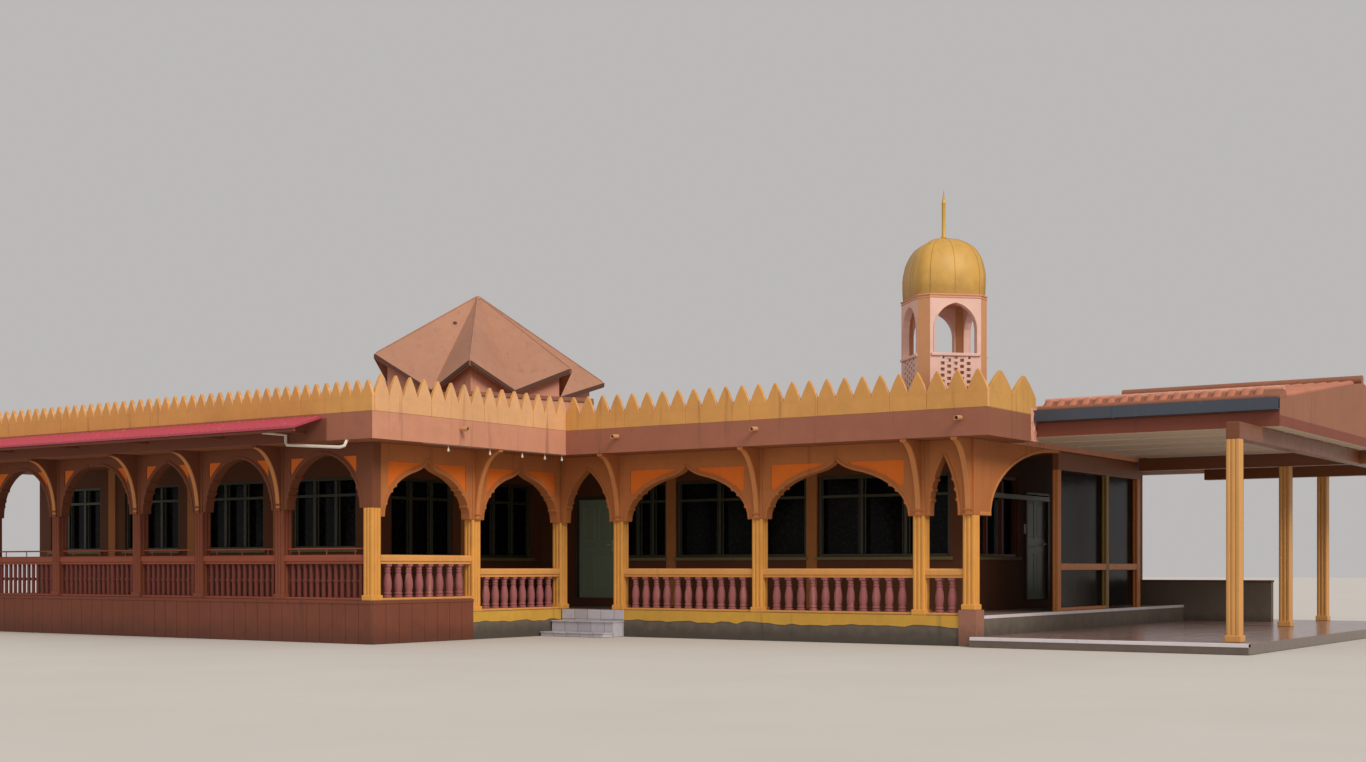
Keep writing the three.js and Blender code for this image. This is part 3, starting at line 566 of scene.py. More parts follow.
class Bench:
    """Blender's modelling operators, used on one new piece at a time."""

    @staticmethod
    def clear() -> None:
        """Leaves edit mode and deselects every object."""
        if bpy.context.mode != "OBJECT":
            bpy.ops.object.mode_set(mode="OBJECT")
        bpy.ops.object.select_all(action="DESELECT")

    @classmethod
    def pick(cls, *pieces: Piece) -> None:
        """Selects pieces and makes the first one active."""
        cls.clear()
        for piece in pieces:
            piece.select_set(True)
        bpy.context.view_layer.objects.active = pieces[0]

    @classmethod
    def apply(cls, piece: Piece, kind: str, **settings: Any) -> Piece:
        """Adds a modifier and applies it.

        Args:
            piece: The piece.
            kind: The modifier's type.
            settings: Its settings.

        Returns:
            The piece.
        """
        cls.pick(piece)
        modifier = piece.modifiers.new(kind.lower(), kind)
        for key, setting in settings.items():
            setattr(modifier, key, setting)
        bpy.ops.object.modifier_apply(modifier=modifier.name)
        return piece

    @classmethod
    def bevelled(cls, piece: Piece, width: float, segments: int = 2) -> Piece:
        """Rounds a piece's sharp edges.

        Args:
            piece: The piece.
            width: The bevel's width, or nought for none.
            segments: Faces across the bevel.

        Returns:
            The piece.
        """
        if width <= 0:
            return piece
        return cls.apply(piece, "BEVEL", width=width, segments=segments, limit_method="ANGLE",
                         angle_limit=math.radians(35))

    @classmethod
    def smooth(cls, piece: Piece, degrees: float = 35.0) -> Piece:
        """Shades a piece smooth, apart from edges sharper than an angle.

        Args:
            piece: The piece.
            degrees: The angle.

        Returns:
            The piece.
        """
        cls.pick(piece)
        bpy.ops.object.shade_smooth_by_angle(angle=math.radians(degrees))
        return piece

    @classmethod
    def block(cls, low: Point, high: Point, bevel: float = 0.006, segments: int = 1) -> Piece:
        """A block with rounded edges.

        Args:
            low: Its lowest corner.
            high: Its highest corner.
            bevel: The width of its bevels.
            segments: Faces across each bevel.

        Returns:
            The block.
        """
        cls.clear()
        size = [b - a for a, b in zip(low, high)]
        centre = [(a + b) / 2 for a, b in zip(low, high)]
        bpy.ops.mesh.primitive_cube_add(size=1, location=centre, scale=size)
        piece = bpy.context.active_object
        bpy.ops.object.transform_apply(location=True, rotation=True, scale=True)
        return cls.bevelled(piece, min(bevel, min(size) * 0.3), segments)

    @classmethod
    def wire(cls, points: Sequence[Point]) -> Piece:
        """A chain of edges, drawn by extruding one point along a path.

        Args:
            points: The path's points.

        Returns:
            The chain, left in edit mode with everything selected.
        """
        cls.clear()
        bpy.ops.mesh.primitive_plane_add(size=0.1)
        piece = bpy.context.active_object
        bpy.ops.object.mode_set(mode="EDIT")
        bpy.ops.mesh.select_all(action="SELECT")
        bpy.ops.mesh.merge(type="CENTER")
        steps = [Vector(points[0])] + [Vector(b) - Vector(a) for a, b in zip(points, points[1:])]
        bpy.ops.transform.translate(value=steps[0])
        for step in steps[1:]:
            bpy.ops.mesh.extrude_region_move(TRANSFORM_OT_translate={"value": step})
        bpy.ops.mesh.select_all(action="SELECT")
        return piece

    @classmethod
    def traced(cls, points: Sequence[Point], depth: Point, bevel: float = 0.0) -> Piece:
        """A closed outline, filled and extruded.

        Args:
            points: The outline's points in order, in one plane.
            depth: The way that it is extruded.
            bevel: The width of its bevels.

        Returns:
            The solid piece.
        """
        piece = cls.wire(points)
        bpy.ops.mesh.edge_face_add()
        bpy.ops.mesh.extrude_region_move(TRANSFORM_OT_translate={"value": Vector(depth)})
        bpy.ops.mesh.select_all(action="SELECT")
        bpy.ops.mesh.normals_make_consistent(inside=False)
        cls.clear()
        return cls.bevelled(piece, bevel)

    @classmethod
    def turned(cls, profile: Sequence[Point], centre: Point = (0.0, 0.0, 0.0), steps: int = 20) -> Piece:
        """A profile spun round an upright axis.

        Args:
            profile: Points of radius and height, from the bottom to the top.
            centre: A point on the axis, and the height that the profile starts from.
            steps: Faces round the piece.

        Returns:
            The closed turned piece.
        """
        x, y, z = centre
        piece = cls.wire([(x + radius, y, z + height) for radius, height in profile])
        bpy.ops.mesh.spin(steps=steps, angle=2 * math.pi, center=(x, y, z), axis=(0, 0, 1))
        bpy.ops.mesh.select_all(action="SELECT")
        bpy.ops.mesh.remove_doubles(threshold=0.0002)
        bpy.ops.mesh.normals_make_consistent(inside=False)
        cls.clear()
        return cls.smooth(piece)

    @classmethod
    def tube(cls, points: Sequence[Point], radius: float, sides: int = 3) -> Piece:
        """A round bar along a path.

        Args:
            points: The path's points.
            radius: The bar's radius.
            sides: The roundness of its section.

        Returns:
            The bar as a mesh.
        """
        cls.clear()
        curve = bpy.data.curves.new("bar", "CURVE")
        curve.dimensions = "3D"
        curve.bevel_depth = radius
        curve.bevel_resolution = sides
        curve.use_fill_caps = True
        spline = curve.splines.new("POLY")
        spline.points.add(len(points) - 1)
        for spot, point in zip(spline.points, points):
            spot.co = (*point, 1.0)
        piece = bpy.data.objects.new("bar", curve)
        bpy.context.scene.collection.objects.link(piece)
        cls.pick(piece)
        bpy.ops.object.convert(target="MESH")
        return cls.smooth(bpy.context.active_object, 60)

    @classmethod
    def copied(cls, piece: Piece, shift: Point = (0.0, 0.0, 0.0), turn: float = 0.0) -> Piece:
        """A copy with a mesh of its own, turned about the upright axis and then moved.

        Args:
            piece: The piece to copy.
            shift: How far the copy is moved.
            turn: How far it is turned first.

        Returns:
            The copy.
        """
        other = piece.copy()
        other.data = piece.data.copy()
        bpy.context.scene.collection.objects.link(other)
        return cls.moved(other, shift, turn)

    @classmethod
    def moved(cls, piece: Piece, shift: Point, turn: float = 0.0) -> Piece:
        """Turns a piece about the upright axis, moves it, and puts its place in its mesh.

        Args:
            piece: The piece.
            shift: How far it is moved.
            turn: How far it is turned first.

        Returns:
            The piece.
        """
        return cls.placed(piece, shift, (0.0, 0.0, turn))

    @classmethod
    def placed(cls, piece: Piece, place: Point, rotation: Point) -> Piece:
        """Turns a piece, moves it, and puts its place in its mesh.

        Args:
            piece: The piece.
            place: How far it is moved.
            rotation: How far it is turned first, about each axis.

        Returns:
            The piece.
        """
        cls.pick(piece)
        piece.location = Vector(place)
        piece.rotation_euler = rotation
        bpy.ops.object.transform_apply(location=True, rotation=True, scale=True)
        return piece

    @classmethod
    def row(cls, piece: Piece, count: int, step: Point) -> Piece:
        """Repeats a piece in a straight row.

        Args:
            piece: The first of the row.
            count: How many there are.
            step: The way from each to the next.

        Returns:
            The row as one piece.
        """
        return cls.apply(piece, "ARRAY", count=count, use_relative_offset=False, use_constant_offset=True,
                         constant_offset_displace=Vector(step))

    @classmethod
    def cut(cls, piece: Piece, tool: Piece) -> Piece:
        """Cuts one piece with another, which is used up.

        Args:
            piece: The piece to cut.
            tool: The shape to take away.

        Returns:
            The cut piece.
        """
        cls.apply(piece, "BOOLEAN", operation="DIFFERENCE", object=tool, solver="EXACT")
        bpy.data.objects.remove(tool)
        return piece

    @classmethod
    def joined(cls, pieces: Sequence[Piece]) -> Piece:
        """Joins pieces into the first.

        Args:
            pieces: The pieces.

        Returns:
            The joined piece.
        """
        cls.pick(*pieces)
        if len(pieces) > 1:
            bpy.ops.object.join()
        return bpy.context.active_object


@dataclass(frozen=True)
class Facade:
    """The frame of one side of the building: x along it, y inwards, z up."""

    x: float
    y: float
    turn: float = 0.0

    def finish(self, name: str, paint: Paint, pieces: Sequence[Piece] | Piece, *,
               replaces: Sequence[str] = (), body: str = BODY) -> Piece:
        """Puts pieces in their place as one finished piece.

        Args:
            name: The piece's name.
            paint: Its finish.
            pieces: The shapes that make it.
            replaces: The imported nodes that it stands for.
            body: The body that it moves with.

        Returns:
            The finished piece.
        """
        shapes = [pieces] if isinstance(pieces, Piece) else list(pieces)
        piece = Bench.moved(Bench.joined(shapes), (self.x, self.y, 0.0), self.turn)
        piece.name = piece.data.name = name
        piece.data.materials.clear()
        piece.data.materials.append(paint.material())
        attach(piece, body)
        if replaces:
            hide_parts(*replaces)
        LOG.info("%s: %d faces", name, len(piece.data.polygons))
        return piece


WORLD = Facade(0.0, 0.0)
QUARTER = math.pi / 2


def middle(low: float, high: float) -> float:
    """Half way between two numbers."""
    return (low + high) / 2


def dress(node: str, paint: Paint) -> None:
    """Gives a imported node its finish.

    Args:
        node: The node's name.
        paint: The finish.
    """
    piece = bpy.data.objects[node]
    piece.data.materials.clear()
    piece.data.materials.append(paint.material())


def side_of(node: str, turn: float) -> tuple[Facade, float, Vector, Vector]:
    """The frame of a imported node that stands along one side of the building.

    Args:
        node: The node's name.
        turn: Nought for the front, then a quarter for the right, and so on round.

    Returns:
        The frame, the node's length along it, and the node's lowest and highest corners.
    """
    low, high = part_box(node)
    along_x = abs(math.cos(turn)) > 0.5
    x = low.x if math.cos(turn) - math.sin(turn) > 0 else high.x
    y = low.y if math.cos(turn) + math.sin(turn) > 0 else high.y
    return Facade(x, y, turn), (high.x - low.x) if along_x else (high.y - low.y), low, high


def ribbed(half: float, ribs: int = 3, depth: float = 0.020) -> Outline:
    """The section of a square post with rounded ribs on each side.

    Args:
        half: Half of the post's width.
        ribs: Ribs to a side.
        depth: How far they stand out.

    Returns:
        The section's points.
    """
    width = 2 * half / ribs
    points = []
    for side in range(4):
        cos, sin = math.cos(side * QUARTER), math.sin(side * QUARTER)
        for rib in range(ribs):
            for step in range(5):
                angle = math.pi * step / 5
                along = -half + width * (rib + 0.5 - 0.5 * math.cos(angle))
                out = -half + depth * (1 - math.sin(angle))
                points.append((along * cos - out * sin, along * sin + out * cos))
    return points


class Arch(Enum):
    """The shapes of arches."""

    SHOULDERED = "round haunches that rise into a small pointed crown"
    POINTED = "two plain arcs that meet in a point"

    def half(self, half_span: float, rise: float) -> Outline:
        """Half of the arch, from its foot to its tip.

        Args:
            half_span: Half of its width at the foot.
            rise: Its height.

        Returns:
            Points of distance from the foot and height above it.
        """
        if self is Arch.POINTED:
            radius = (half_span ** 2 + rise ** 2) / (2 * half_span)
            end = math.asin(rise / radius)
            steps = [end * step / 12 for step in range(13)]
            return [(radius * (1 - math.cos(a)), radius * math.sin(a)) for a in steps]
        across, up, end = 0.74 * half_span, 0.80 * rise, 0.4 * math.pi
        steps = [end * step / 9 for step in range(10)]
        points = [(across * (1 - math.cos(a)) / (1 - math.cos(end)), up * math.sin(a) / math.sin(end))
                  for a in steps]
        controls = [points[-1], (0.86 * half_span, 0.845 * rise), (0.95 * half_span, 0.90 * rise),
                    (half_span, rise)]
        for step in range(1, 9):
            t = step / 8
            weights = ((1 - t) ** 3, 3 * t * (1 - t) ** 2, 3 * t * t * (1 - t), t ** 3)
            points.append(tuple(sum(w * c[axis] for w, c in zip(weights, controls)) for axis in (0, 1)))
        return points

    @staticmethod
    def outside(points: Sequence[tuple[float, float]], width: float) -> Outline:
        """A line beside the left half of an arch, on the side of the wall.

        Args:
            points: The half arch.
            width: The distance between the two lines.

        Returns:
            The outer line's points.
        """
        found = []
        for index, (x, z) in enumerate(points):
            before, after = points[max(index - 1, 0)], points[min(index + 1, len(points) - 1)]
            run, climb = after[0] - before[0], after[1] - before[1]
            length = math.hypot(run, climb)
            found.append((x - width * climb / length, z + width * run / length))
        return found


@dataclass
class Arcade:
    """A row of ribbed posts that carries arches, spandrels and the fins under the eaves."""

    name: str
    node: str
    facade: Facade
    stations: list[float]
    floors: list[float]
    springing: float
    apex: float
    top: float
    fins: list[float]
    shouldered_over: float = 1.8
    own_first: bool = True
    own_last: bool = True
    paint: Paint = Paint.POST
    arch_paint: Paint = Paint.ARCH
    last_paint: Paint | None = None
    post: float = 0.21
    thickness: float = 0.18
    flare: float = 0.08
    reach: float = 0.53
    fin: float = 0.11
    band: float = 0.075
    recess: float = 0.018
    panel_side: float = 0.27
    panel_top: float = 0.05
    cusp: float = 0.032

    def posts(self) -> list[Piece]:
        """Models the posts with their bases.

        Returns:
            The shapes.
        """
        half = self.post / 2
        shapes = []
        for index, (station, floor) in enumerate(zip(self.stations, self.floors)):
            if (index == 0 and not self.own_first) or (index == len(self.stations) - 1 and not self.own_last):
                continue
            plan = [(station + x, y, floor) for x, y in ribbed(half)]
            shapes.append(Bench.traced(plan, (0, 0, self.springing - floor)))
            base = half + 0.018
            shapes.append(Bench.block((station - base, -base, floor), (station + base, base, floor + 0.09),
                                      0.012, 2))
        return shapes

    def bay(self, left: float, right: float, start: float, end: float) -> tuple[list, list]:
        """The wall over one bay, cut by its arch, with a sunk panel beside each haunch whose bright orange is
        painted light.

        Args:
            left: The left post's place.
            right: The right post's place.
            start: Where the wall starts.
            end: Where it ends.

        Returns:
            The wall's shapes and the panels' shapes.
        """
        half_post, front = self.post / 2, -self.thickness / 2
        style = Arch.SHOULDERED if right - left > self.shouldered_over else Arch.POINTED
        half_span = (right - left) / 2 - half_post - self.flare
        centre = middle(left, right)
        half = style.half(half_span, self.apex - self.springing)
        rising = [(centre - half_span + x, self.springing + z) for x, z in half]
        falling = [(2 * centre - x, z) for x, z in reversed(rising[:-1])]
        outline = [(start, self.springing), *rising, *falling, (end, self.springing), (end, self.top),
                   (start, self.top)]
        wall = Bench.traced([(x, front, z) for x, z in outline], (0, self.thickness, 0), 0.008)
        inner = left + self.panel_side
        ceiling = self.apex - self.panel_top
        line = [(centre - half_span + x, self.springing + z) for x, z in Arch.outside(half, self.band)]
        line = [(x, z) for x, z in line if x > inner and z < ceiling - 0.02]
        panels = []
        if len(line) > 3 and line[-1][0] - inner > 0.12:
            corner = [(inner, line[0][1] + 0.02), *line, (line[-1][0] + 0.02, ceiling), (inner, ceiling)]
            for mirror in (False, True):
                spots = [((2 * centre - x) if mirror else x, z) for x, z in corner]
                cutter = Bench.traced([(x, front - 0.02, z) for x, z in spots], (0, 0.02 + self.recess, 0))
                wall = Bench.cut(wall, cutter)
                panels.append(Bench.traced([(x, front + self.recess - 0.002, z) for x, z in spots],
                                           (0, 0.004, 0)))
        edge = Arch.outside(half, 0.045)
        strip = [*half, *reversed(edge)]
        trims = []
        for mirror in (1, -1):
            spots = [(centre + mirror * (x - half_span), front - 0.012, self.springing + z) for x, z in strip]
            trims.append(Bench.traced(spots, (0, 0.014, 0), 0.003))
        return [wall, *trims, *self.cusps(half, half_span, centre)], panels

    def cusps(self, half: Sequence[tuple[float, float]], half_span: float, centre: float) -> list[Piece]:
        """Small rounded lobes along the lower haunches of an arch.

        Args:
            half: The half arch.
            half_span: Half of its width at the foot.
            centre: The middle of the bay.

        Returns:
            The lobes.
        """
        ring = [(self.cusp * math.cos(a), self.cusp * math.sin(a))
                for a in (math.pi * step / 5 for step in range(10))]
        lobe = Bench.traced([(x, -self.thickness / 2 - 0.010, z) for x, z in ring],
                            (0, self.thickness + 0.004, 0))
        lobes = []
        for share in (0.25, 0.42, 0.58):
            x, z = min(half, key=lambda point: abs(point[1] - share * (self.apex - self.springing)))
            for mirror in (1, -1):
                place = (centre + mirror * (x - half_span - 0.008), 0, self.springing + z)
                lobes.append(Bench.copied(lobe, place))
        bpy.data.objects.remove(lobe)
        return lobes

    def fin_shapes(self, station: float) -> tuple[list, list]:
        """A curved fin under the eaves, with a lighter strip along its edge and a small capital.

        Args:
            station: The post's place.

        Returns:
            The fin's shapes and the strip's shapes.
        """
        front, rise = -self.thickness / 2, self.top - self.springing
        arc = [(self.reach * (1 - math.cos(a)), (rise - 0.04) * math.sin(a))
               for a in (QUARTER * step / 12 for step in range(13))]
        curve = [(front - 0.03 - x, self.springing + z) for x, z in arc]
        outline = [(0.0, self.springing), *curve, (curve[-1][0], self.top), (0.0, self.top)]
        left = station - self.fin / 2
        fin = Bench.traced([(left, y, z) for y, z in outline], (self.fin, 0, 0), 0.006)
        outer = [(y - 0.006, z - 0.006) for y, z in curve]
        strip = Bench.traced([(left + 0.012, y, z) for y, z in [*curve, *reversed(outer)]],
                             (self.fin - 0.024, 0, 0))
        capital = [
            Bench.block((left - 0.016, front - 0.055, self.springing + level),
                        (left + self.fin + 0.016, front, self.springing + level + 0.03), 0.006)
            for level in (0.0, 0.075)]
        pilaster = Bench.block((station - self.post / 2, front - 0.018, self.springing),
                               (station + self.post / 2, front + 0.01, self.top), 0.006)
        return [fin, pilaster, *capital], [strip]

    def build(self) -> None:
        """Models the whole arcade."""
        posts = self.posts()
        if self.last_paint is not None:
            self.facade.finish(f"{self.name}_end_post", self.last_paint, posts[-2:])
            posts = posts[:-2]
        self.facade.finish(f"{self.name}_posts", self.paint, posts, replaces=[self.node])
        walls, panels = [], []
        last = len(self.stations) - 2
        half_post = self.post / 2
        for index, (left, right) in enumerate(zip(self.stations, self.stations[1:])):
            start = left - (half_post if self.own_first else -half_post) if index == 0 else left
            end = right + (half_post if self.own_last else -half_post) if index == last else right
            wall, panel = self.bay(left, right, start, end)
            walls += wall
            panels += panel
        fins, strips = [], []
        for station in self.fins:
            fin, strip = self.fin_shapes(station)
            fins += fin
            strips += strip
        self.facade.finish(f"{self.name}_arches", self.arch_paint, walls)
        # The sunk panels are painted bright orange as painted light.
        if panels:
            self.facade.finish(f"{self.name}_panels", Paint.PANEL, panels)
        self.facade.finish(f"{self.name}_fins", self.arch_paint, fins)
        self.facade.finish(f"{self.name}_fin_edges", Paint.BAND, strips)


@dataclass
class Balustrade:
    """One bay of balustrade between two posts."""

    node: str
    slats: bool = False
    pitch: float = 0.238
    slat_pitch: float = 0.14
    width: float = 0.15
    rail: float = 0.15
    kerb: float = 0.04
    handrail: float = 0.10

    def rail_shape(self, length: float, bottom: float, top: float) -> Piece:
        """The moulded rail.

        Args:
            length: Its length.
            bottom: Its underside.
            top: Its top.

        Returns:
            The rail.
        """
        half = self.width / 2
        step = 0.022
        section = [(-half + step, bottom), (half - step, bottom), (half - step, bottom + 0.035),
                   (half, bottom + 0.05),
                   (half, top - 0.03), (half - 0.012, top - 0.008), (half - 0.035, top), (-half + 0.035, top),
                   (-half + 0.012, top - 0.008), (-half, top - 0.03), (-half, bottom + 0.05),
                   (-half + step, bottom + 0.035)]
        return Bench.traced([(0, y, z) for y, z in section], (length, 0, 0), 0.003)

    def turned_shape(self, bottom: float, top: float) -> Piece:
        """One turned baluster, with a square block at its head.

        Args:
            bottom: Where it starts.
            top: Where it ends.

        Returns:
            The baluster, at the start of the bay.
        """
        height = top - bottom
        profile = [(0.0, 0.0), (0.066, 0.0), (0.072, 0.02), (0.072, 0.06), (0.056, 0.08), (0.056, 0.095),
                   (0.068, 0.11),
                   (0.068, 0.15), (0.055, 0.17), (0.060, 0.21), (0.068, 0.30), (0.071, 0.38), (0.070, 0.46),
                   (0.063, 0.56), (0.052, 0.66), (0.043, 0.73), (0.052, 0.75), (0.054, 0.785), (0.042, 0.80),
                   (0.042, 0.82), (0.050, 0.84), (0.050, 0.87), (0.044, 0.89), (0.050, 0.91), (0.054, 1.0),
                   (0.0, 1.0)]
        body = Bench.turned([(radius, share * height) for radius, share in profile], (0, 0, bottom), 16)
        half = 0.056
        head = Bench.block((-half, -half, top - 0.08 * height), (half, half, top + 0.003), 0.008)
        return Bench.joined([body, head])

    def build(self) -> None:
        """Models the bay."""
        low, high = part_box(self.node)
        along_x = high.x - low.x > high.y - low.y
        length = (high.x - low.x) if along_x else (high.y - low.y)
        facade = (Facade(low.x, middle(low.y, high.y)) if along_x
                  else Facade(middle(low.x, high.x), low.y, QUARTER))
        half = self.width / 2
        rail_bottom = high.z - self.rail
        kerb_top = low.z + self.kerb
        if self.slats:
            count = max(1, round(length / self.slat_pitch) - 1)
            shape = Bench.block((-0.03, -0.022, kerb_top - 0.003), (0.03, 0.022, rail_bottom + 0.003), 0.01,
                                2)
            waist = Bench.block((-0.038, -0.03, middle(kerb_top, rail_bottom) - 0.03),
                                (0.038, 0.03, middle(kerb_top, rail_bottom) + 0.03), 0.012, 2)
            shape = Bench.joined([shape, waist])
        else:
            count = max(1, round(length / self.pitch) - 1)
            shape = self.turned_shape(kerb_top, rail_bottom)
        step = length / (count + 1)
        shape = Bench.moved(shape, (step, 0, 0))
        row = Bench.row(shape, count, (step, 0, 0)) if count > 1 else shape
        uprights = Paint.SLAT if self.slats else Paint.BALUSTER
        facade.finish(f"{self.node}_uprights", uprights, row, replaces=[self.node])
        rails = [self.rail_shape(length, rail_bottom, high.z),
                 Bench.block((0, -half, low.z), (length, half, kerb_top), 0.008)]
        if self.slats:
            above = high.z + self.handrail
            rails.append(Bench.tube([(0, 0, above), (length, 0, above)], 0.014))
            for share in (0.15, 0.5, 0.85):
                rails.append(Bench.tube([(share * length, 0, high.z - 0.01), (share * length, 0, above)],
                                        0.009))
        facade.finish(f"{self.node}_rails", Paint.WING_RAIL if self.slats else Paint.RAIL, rails)


@dataclass
class Parapet:
    """A band with rounded, pointed teeth along its top."""

    node: str
    turn: float
    pitch: float = 0.326
    tooth: float = 0.33
    paint: Paint = Paint.PARAPET
    slab: int = 4

    def build(self) -> None:
        """Models the parapet in place of its node."""
        facade, length, low, high = side_of(self.node, self.turn)
        thickness = min(high.x - low.x, high.y - low.y)
        count = max(1, round(length / self.pitch))
        step = length / count
        valley = high.z - self.tooth
        shares = [index / 5 for index in range(6)]
        rising = [(step / 2 * (1 - s), valley + self.tooth * (1 - 0.7 * s - 0.3 * s * s))
                  for s in reversed(shares)]
        falling = [(step - x, z) for x, z in reversed(rising[:-1])]
        outline = [(0.0, valley - 0.03), *rising, *falling, (step, valley - 0.03)]
        tooth = Bench.traced([(x, 0, z) for x, z in outline], (0, thickness, 0), 0.006)
        shapes = [Bench.row(tooth, count, (step, 0, 0)) if count > 1 else tooth]
        slab = self.slab * step
        for first in range(0, count, self.slab):
            left, right = first * step, min(first * step + slab, length)
            shapes.append(Bench.block((left + 0.002, 0.001, low.z),
                                      (right - 0.002, thickness - 0.001, valley - 0.01)))
        facade.finish(f"{self.node}_teeth", self.paint, shapes, replaces=[self.node])


@dataclass
class Spouts:
    """The short pipes that drain the roof through the fascia."""

    places: list[tuple[float, float, float]]
    height: float
    radius: float = 0.038
    length: float = 0.16
    wall: float = 0.006
    tilt: float = 94.0

    def build(self) -> None:
        """Models the pipes."""
        shapes = []
        bore = self.radius - self.wall
        profile = [(0.0, 0.0), (self.radius, 0.0), (self.radius, self.length), (bore, self.length),
                   (bore, 0.01), (0.0, 0.01)]
        for x, y, turn in self.places:
            pipe = Bench.turned(profile, steps=16)
            shapes.append(Bench.placed(pipe, (x, y, self.height), (math.radians(self.tilt), 0.0, turn)))
        WORLD.finish("roof_spouts", Paint.SPOUT, shapes)


@dataclass
class Roof:
    """The slab with its fascia, its broken end at the porch and the parapets round it."""

    pitch: float = 0.326
    wing_pitch: float = 0.231
    tooth: float = 0.33
    wing_tooth: float = 0.245
    corner_pitch: float = 0.345
    side_pitch: float = 0.93

    def broken_end(self) -> None:
        """The torn plaster where the side fascia stops at the porch gutter."""
        slab_low, slab_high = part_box("roof_slab")
        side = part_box("parapet_side")
        x, y = side[1].x, side[1].y
        piece = Bench.block((x - 0.14, y - 0.20, slab_low.z + 0.002),
                            (x + 0.012, y + 0.05, slab_high.z + 0.10), 0.0)
        Bench.pick(piece)
        bpy.ops.object.mode_set(mode="EDIT")
        bpy.ops.mesh.select_all(action="SELECT")
        bpy.ops.mesh.subdivide(number_cuts=9)
        bpy.ops.transform.vertex_random(offset=0.022, seed=4)
        Bench.clear()
        WORLD.finish("fascia_broken_end", Paint.ROUGH, Bench.smooth(piece, 20))
        skin = Bench.block((x - 0.002, side[0].y - 0.06, slab_low.z + 0.004),
                           (x + 0.003, y - 0.22, slab_high.z - 0.004), 0.0)
        WORLD.finish("side_fascia_skin", Paint.FASCIA_SHADE, skin)

    def build(self) -> None:
        """Dresses the slab and models the parapets."""
        dress("roof_slab", Paint.FASCIA)
        for node, turn, pitch, tooth in (
                ("parapet_front", 0.0, self.pitch, self.tooth),
                ("parapet_corner", 0.0, self.corner_pitch, self.tooth),
                ("parapet_return", QUARTER, self.pitch, self.tooth),
                ("parapet_side", QUARTER, self.side_pitch, self.tooth),
                ("parapet_back", 2 * QUARTER, self.pitch, self.tooth),
                ("parapet_west", -QUARTER, self.pitch, self.tooth),
                ("parapet_wing", 0.0, self.wing_pitch, self.wing_tooth)):
            paint = Paint.PARAPET_SIDE if node == "parapet_side" else Paint.PARAPET
            Parapet(node, turn, pitch, tooth, paint).build()
        self.broken_end()


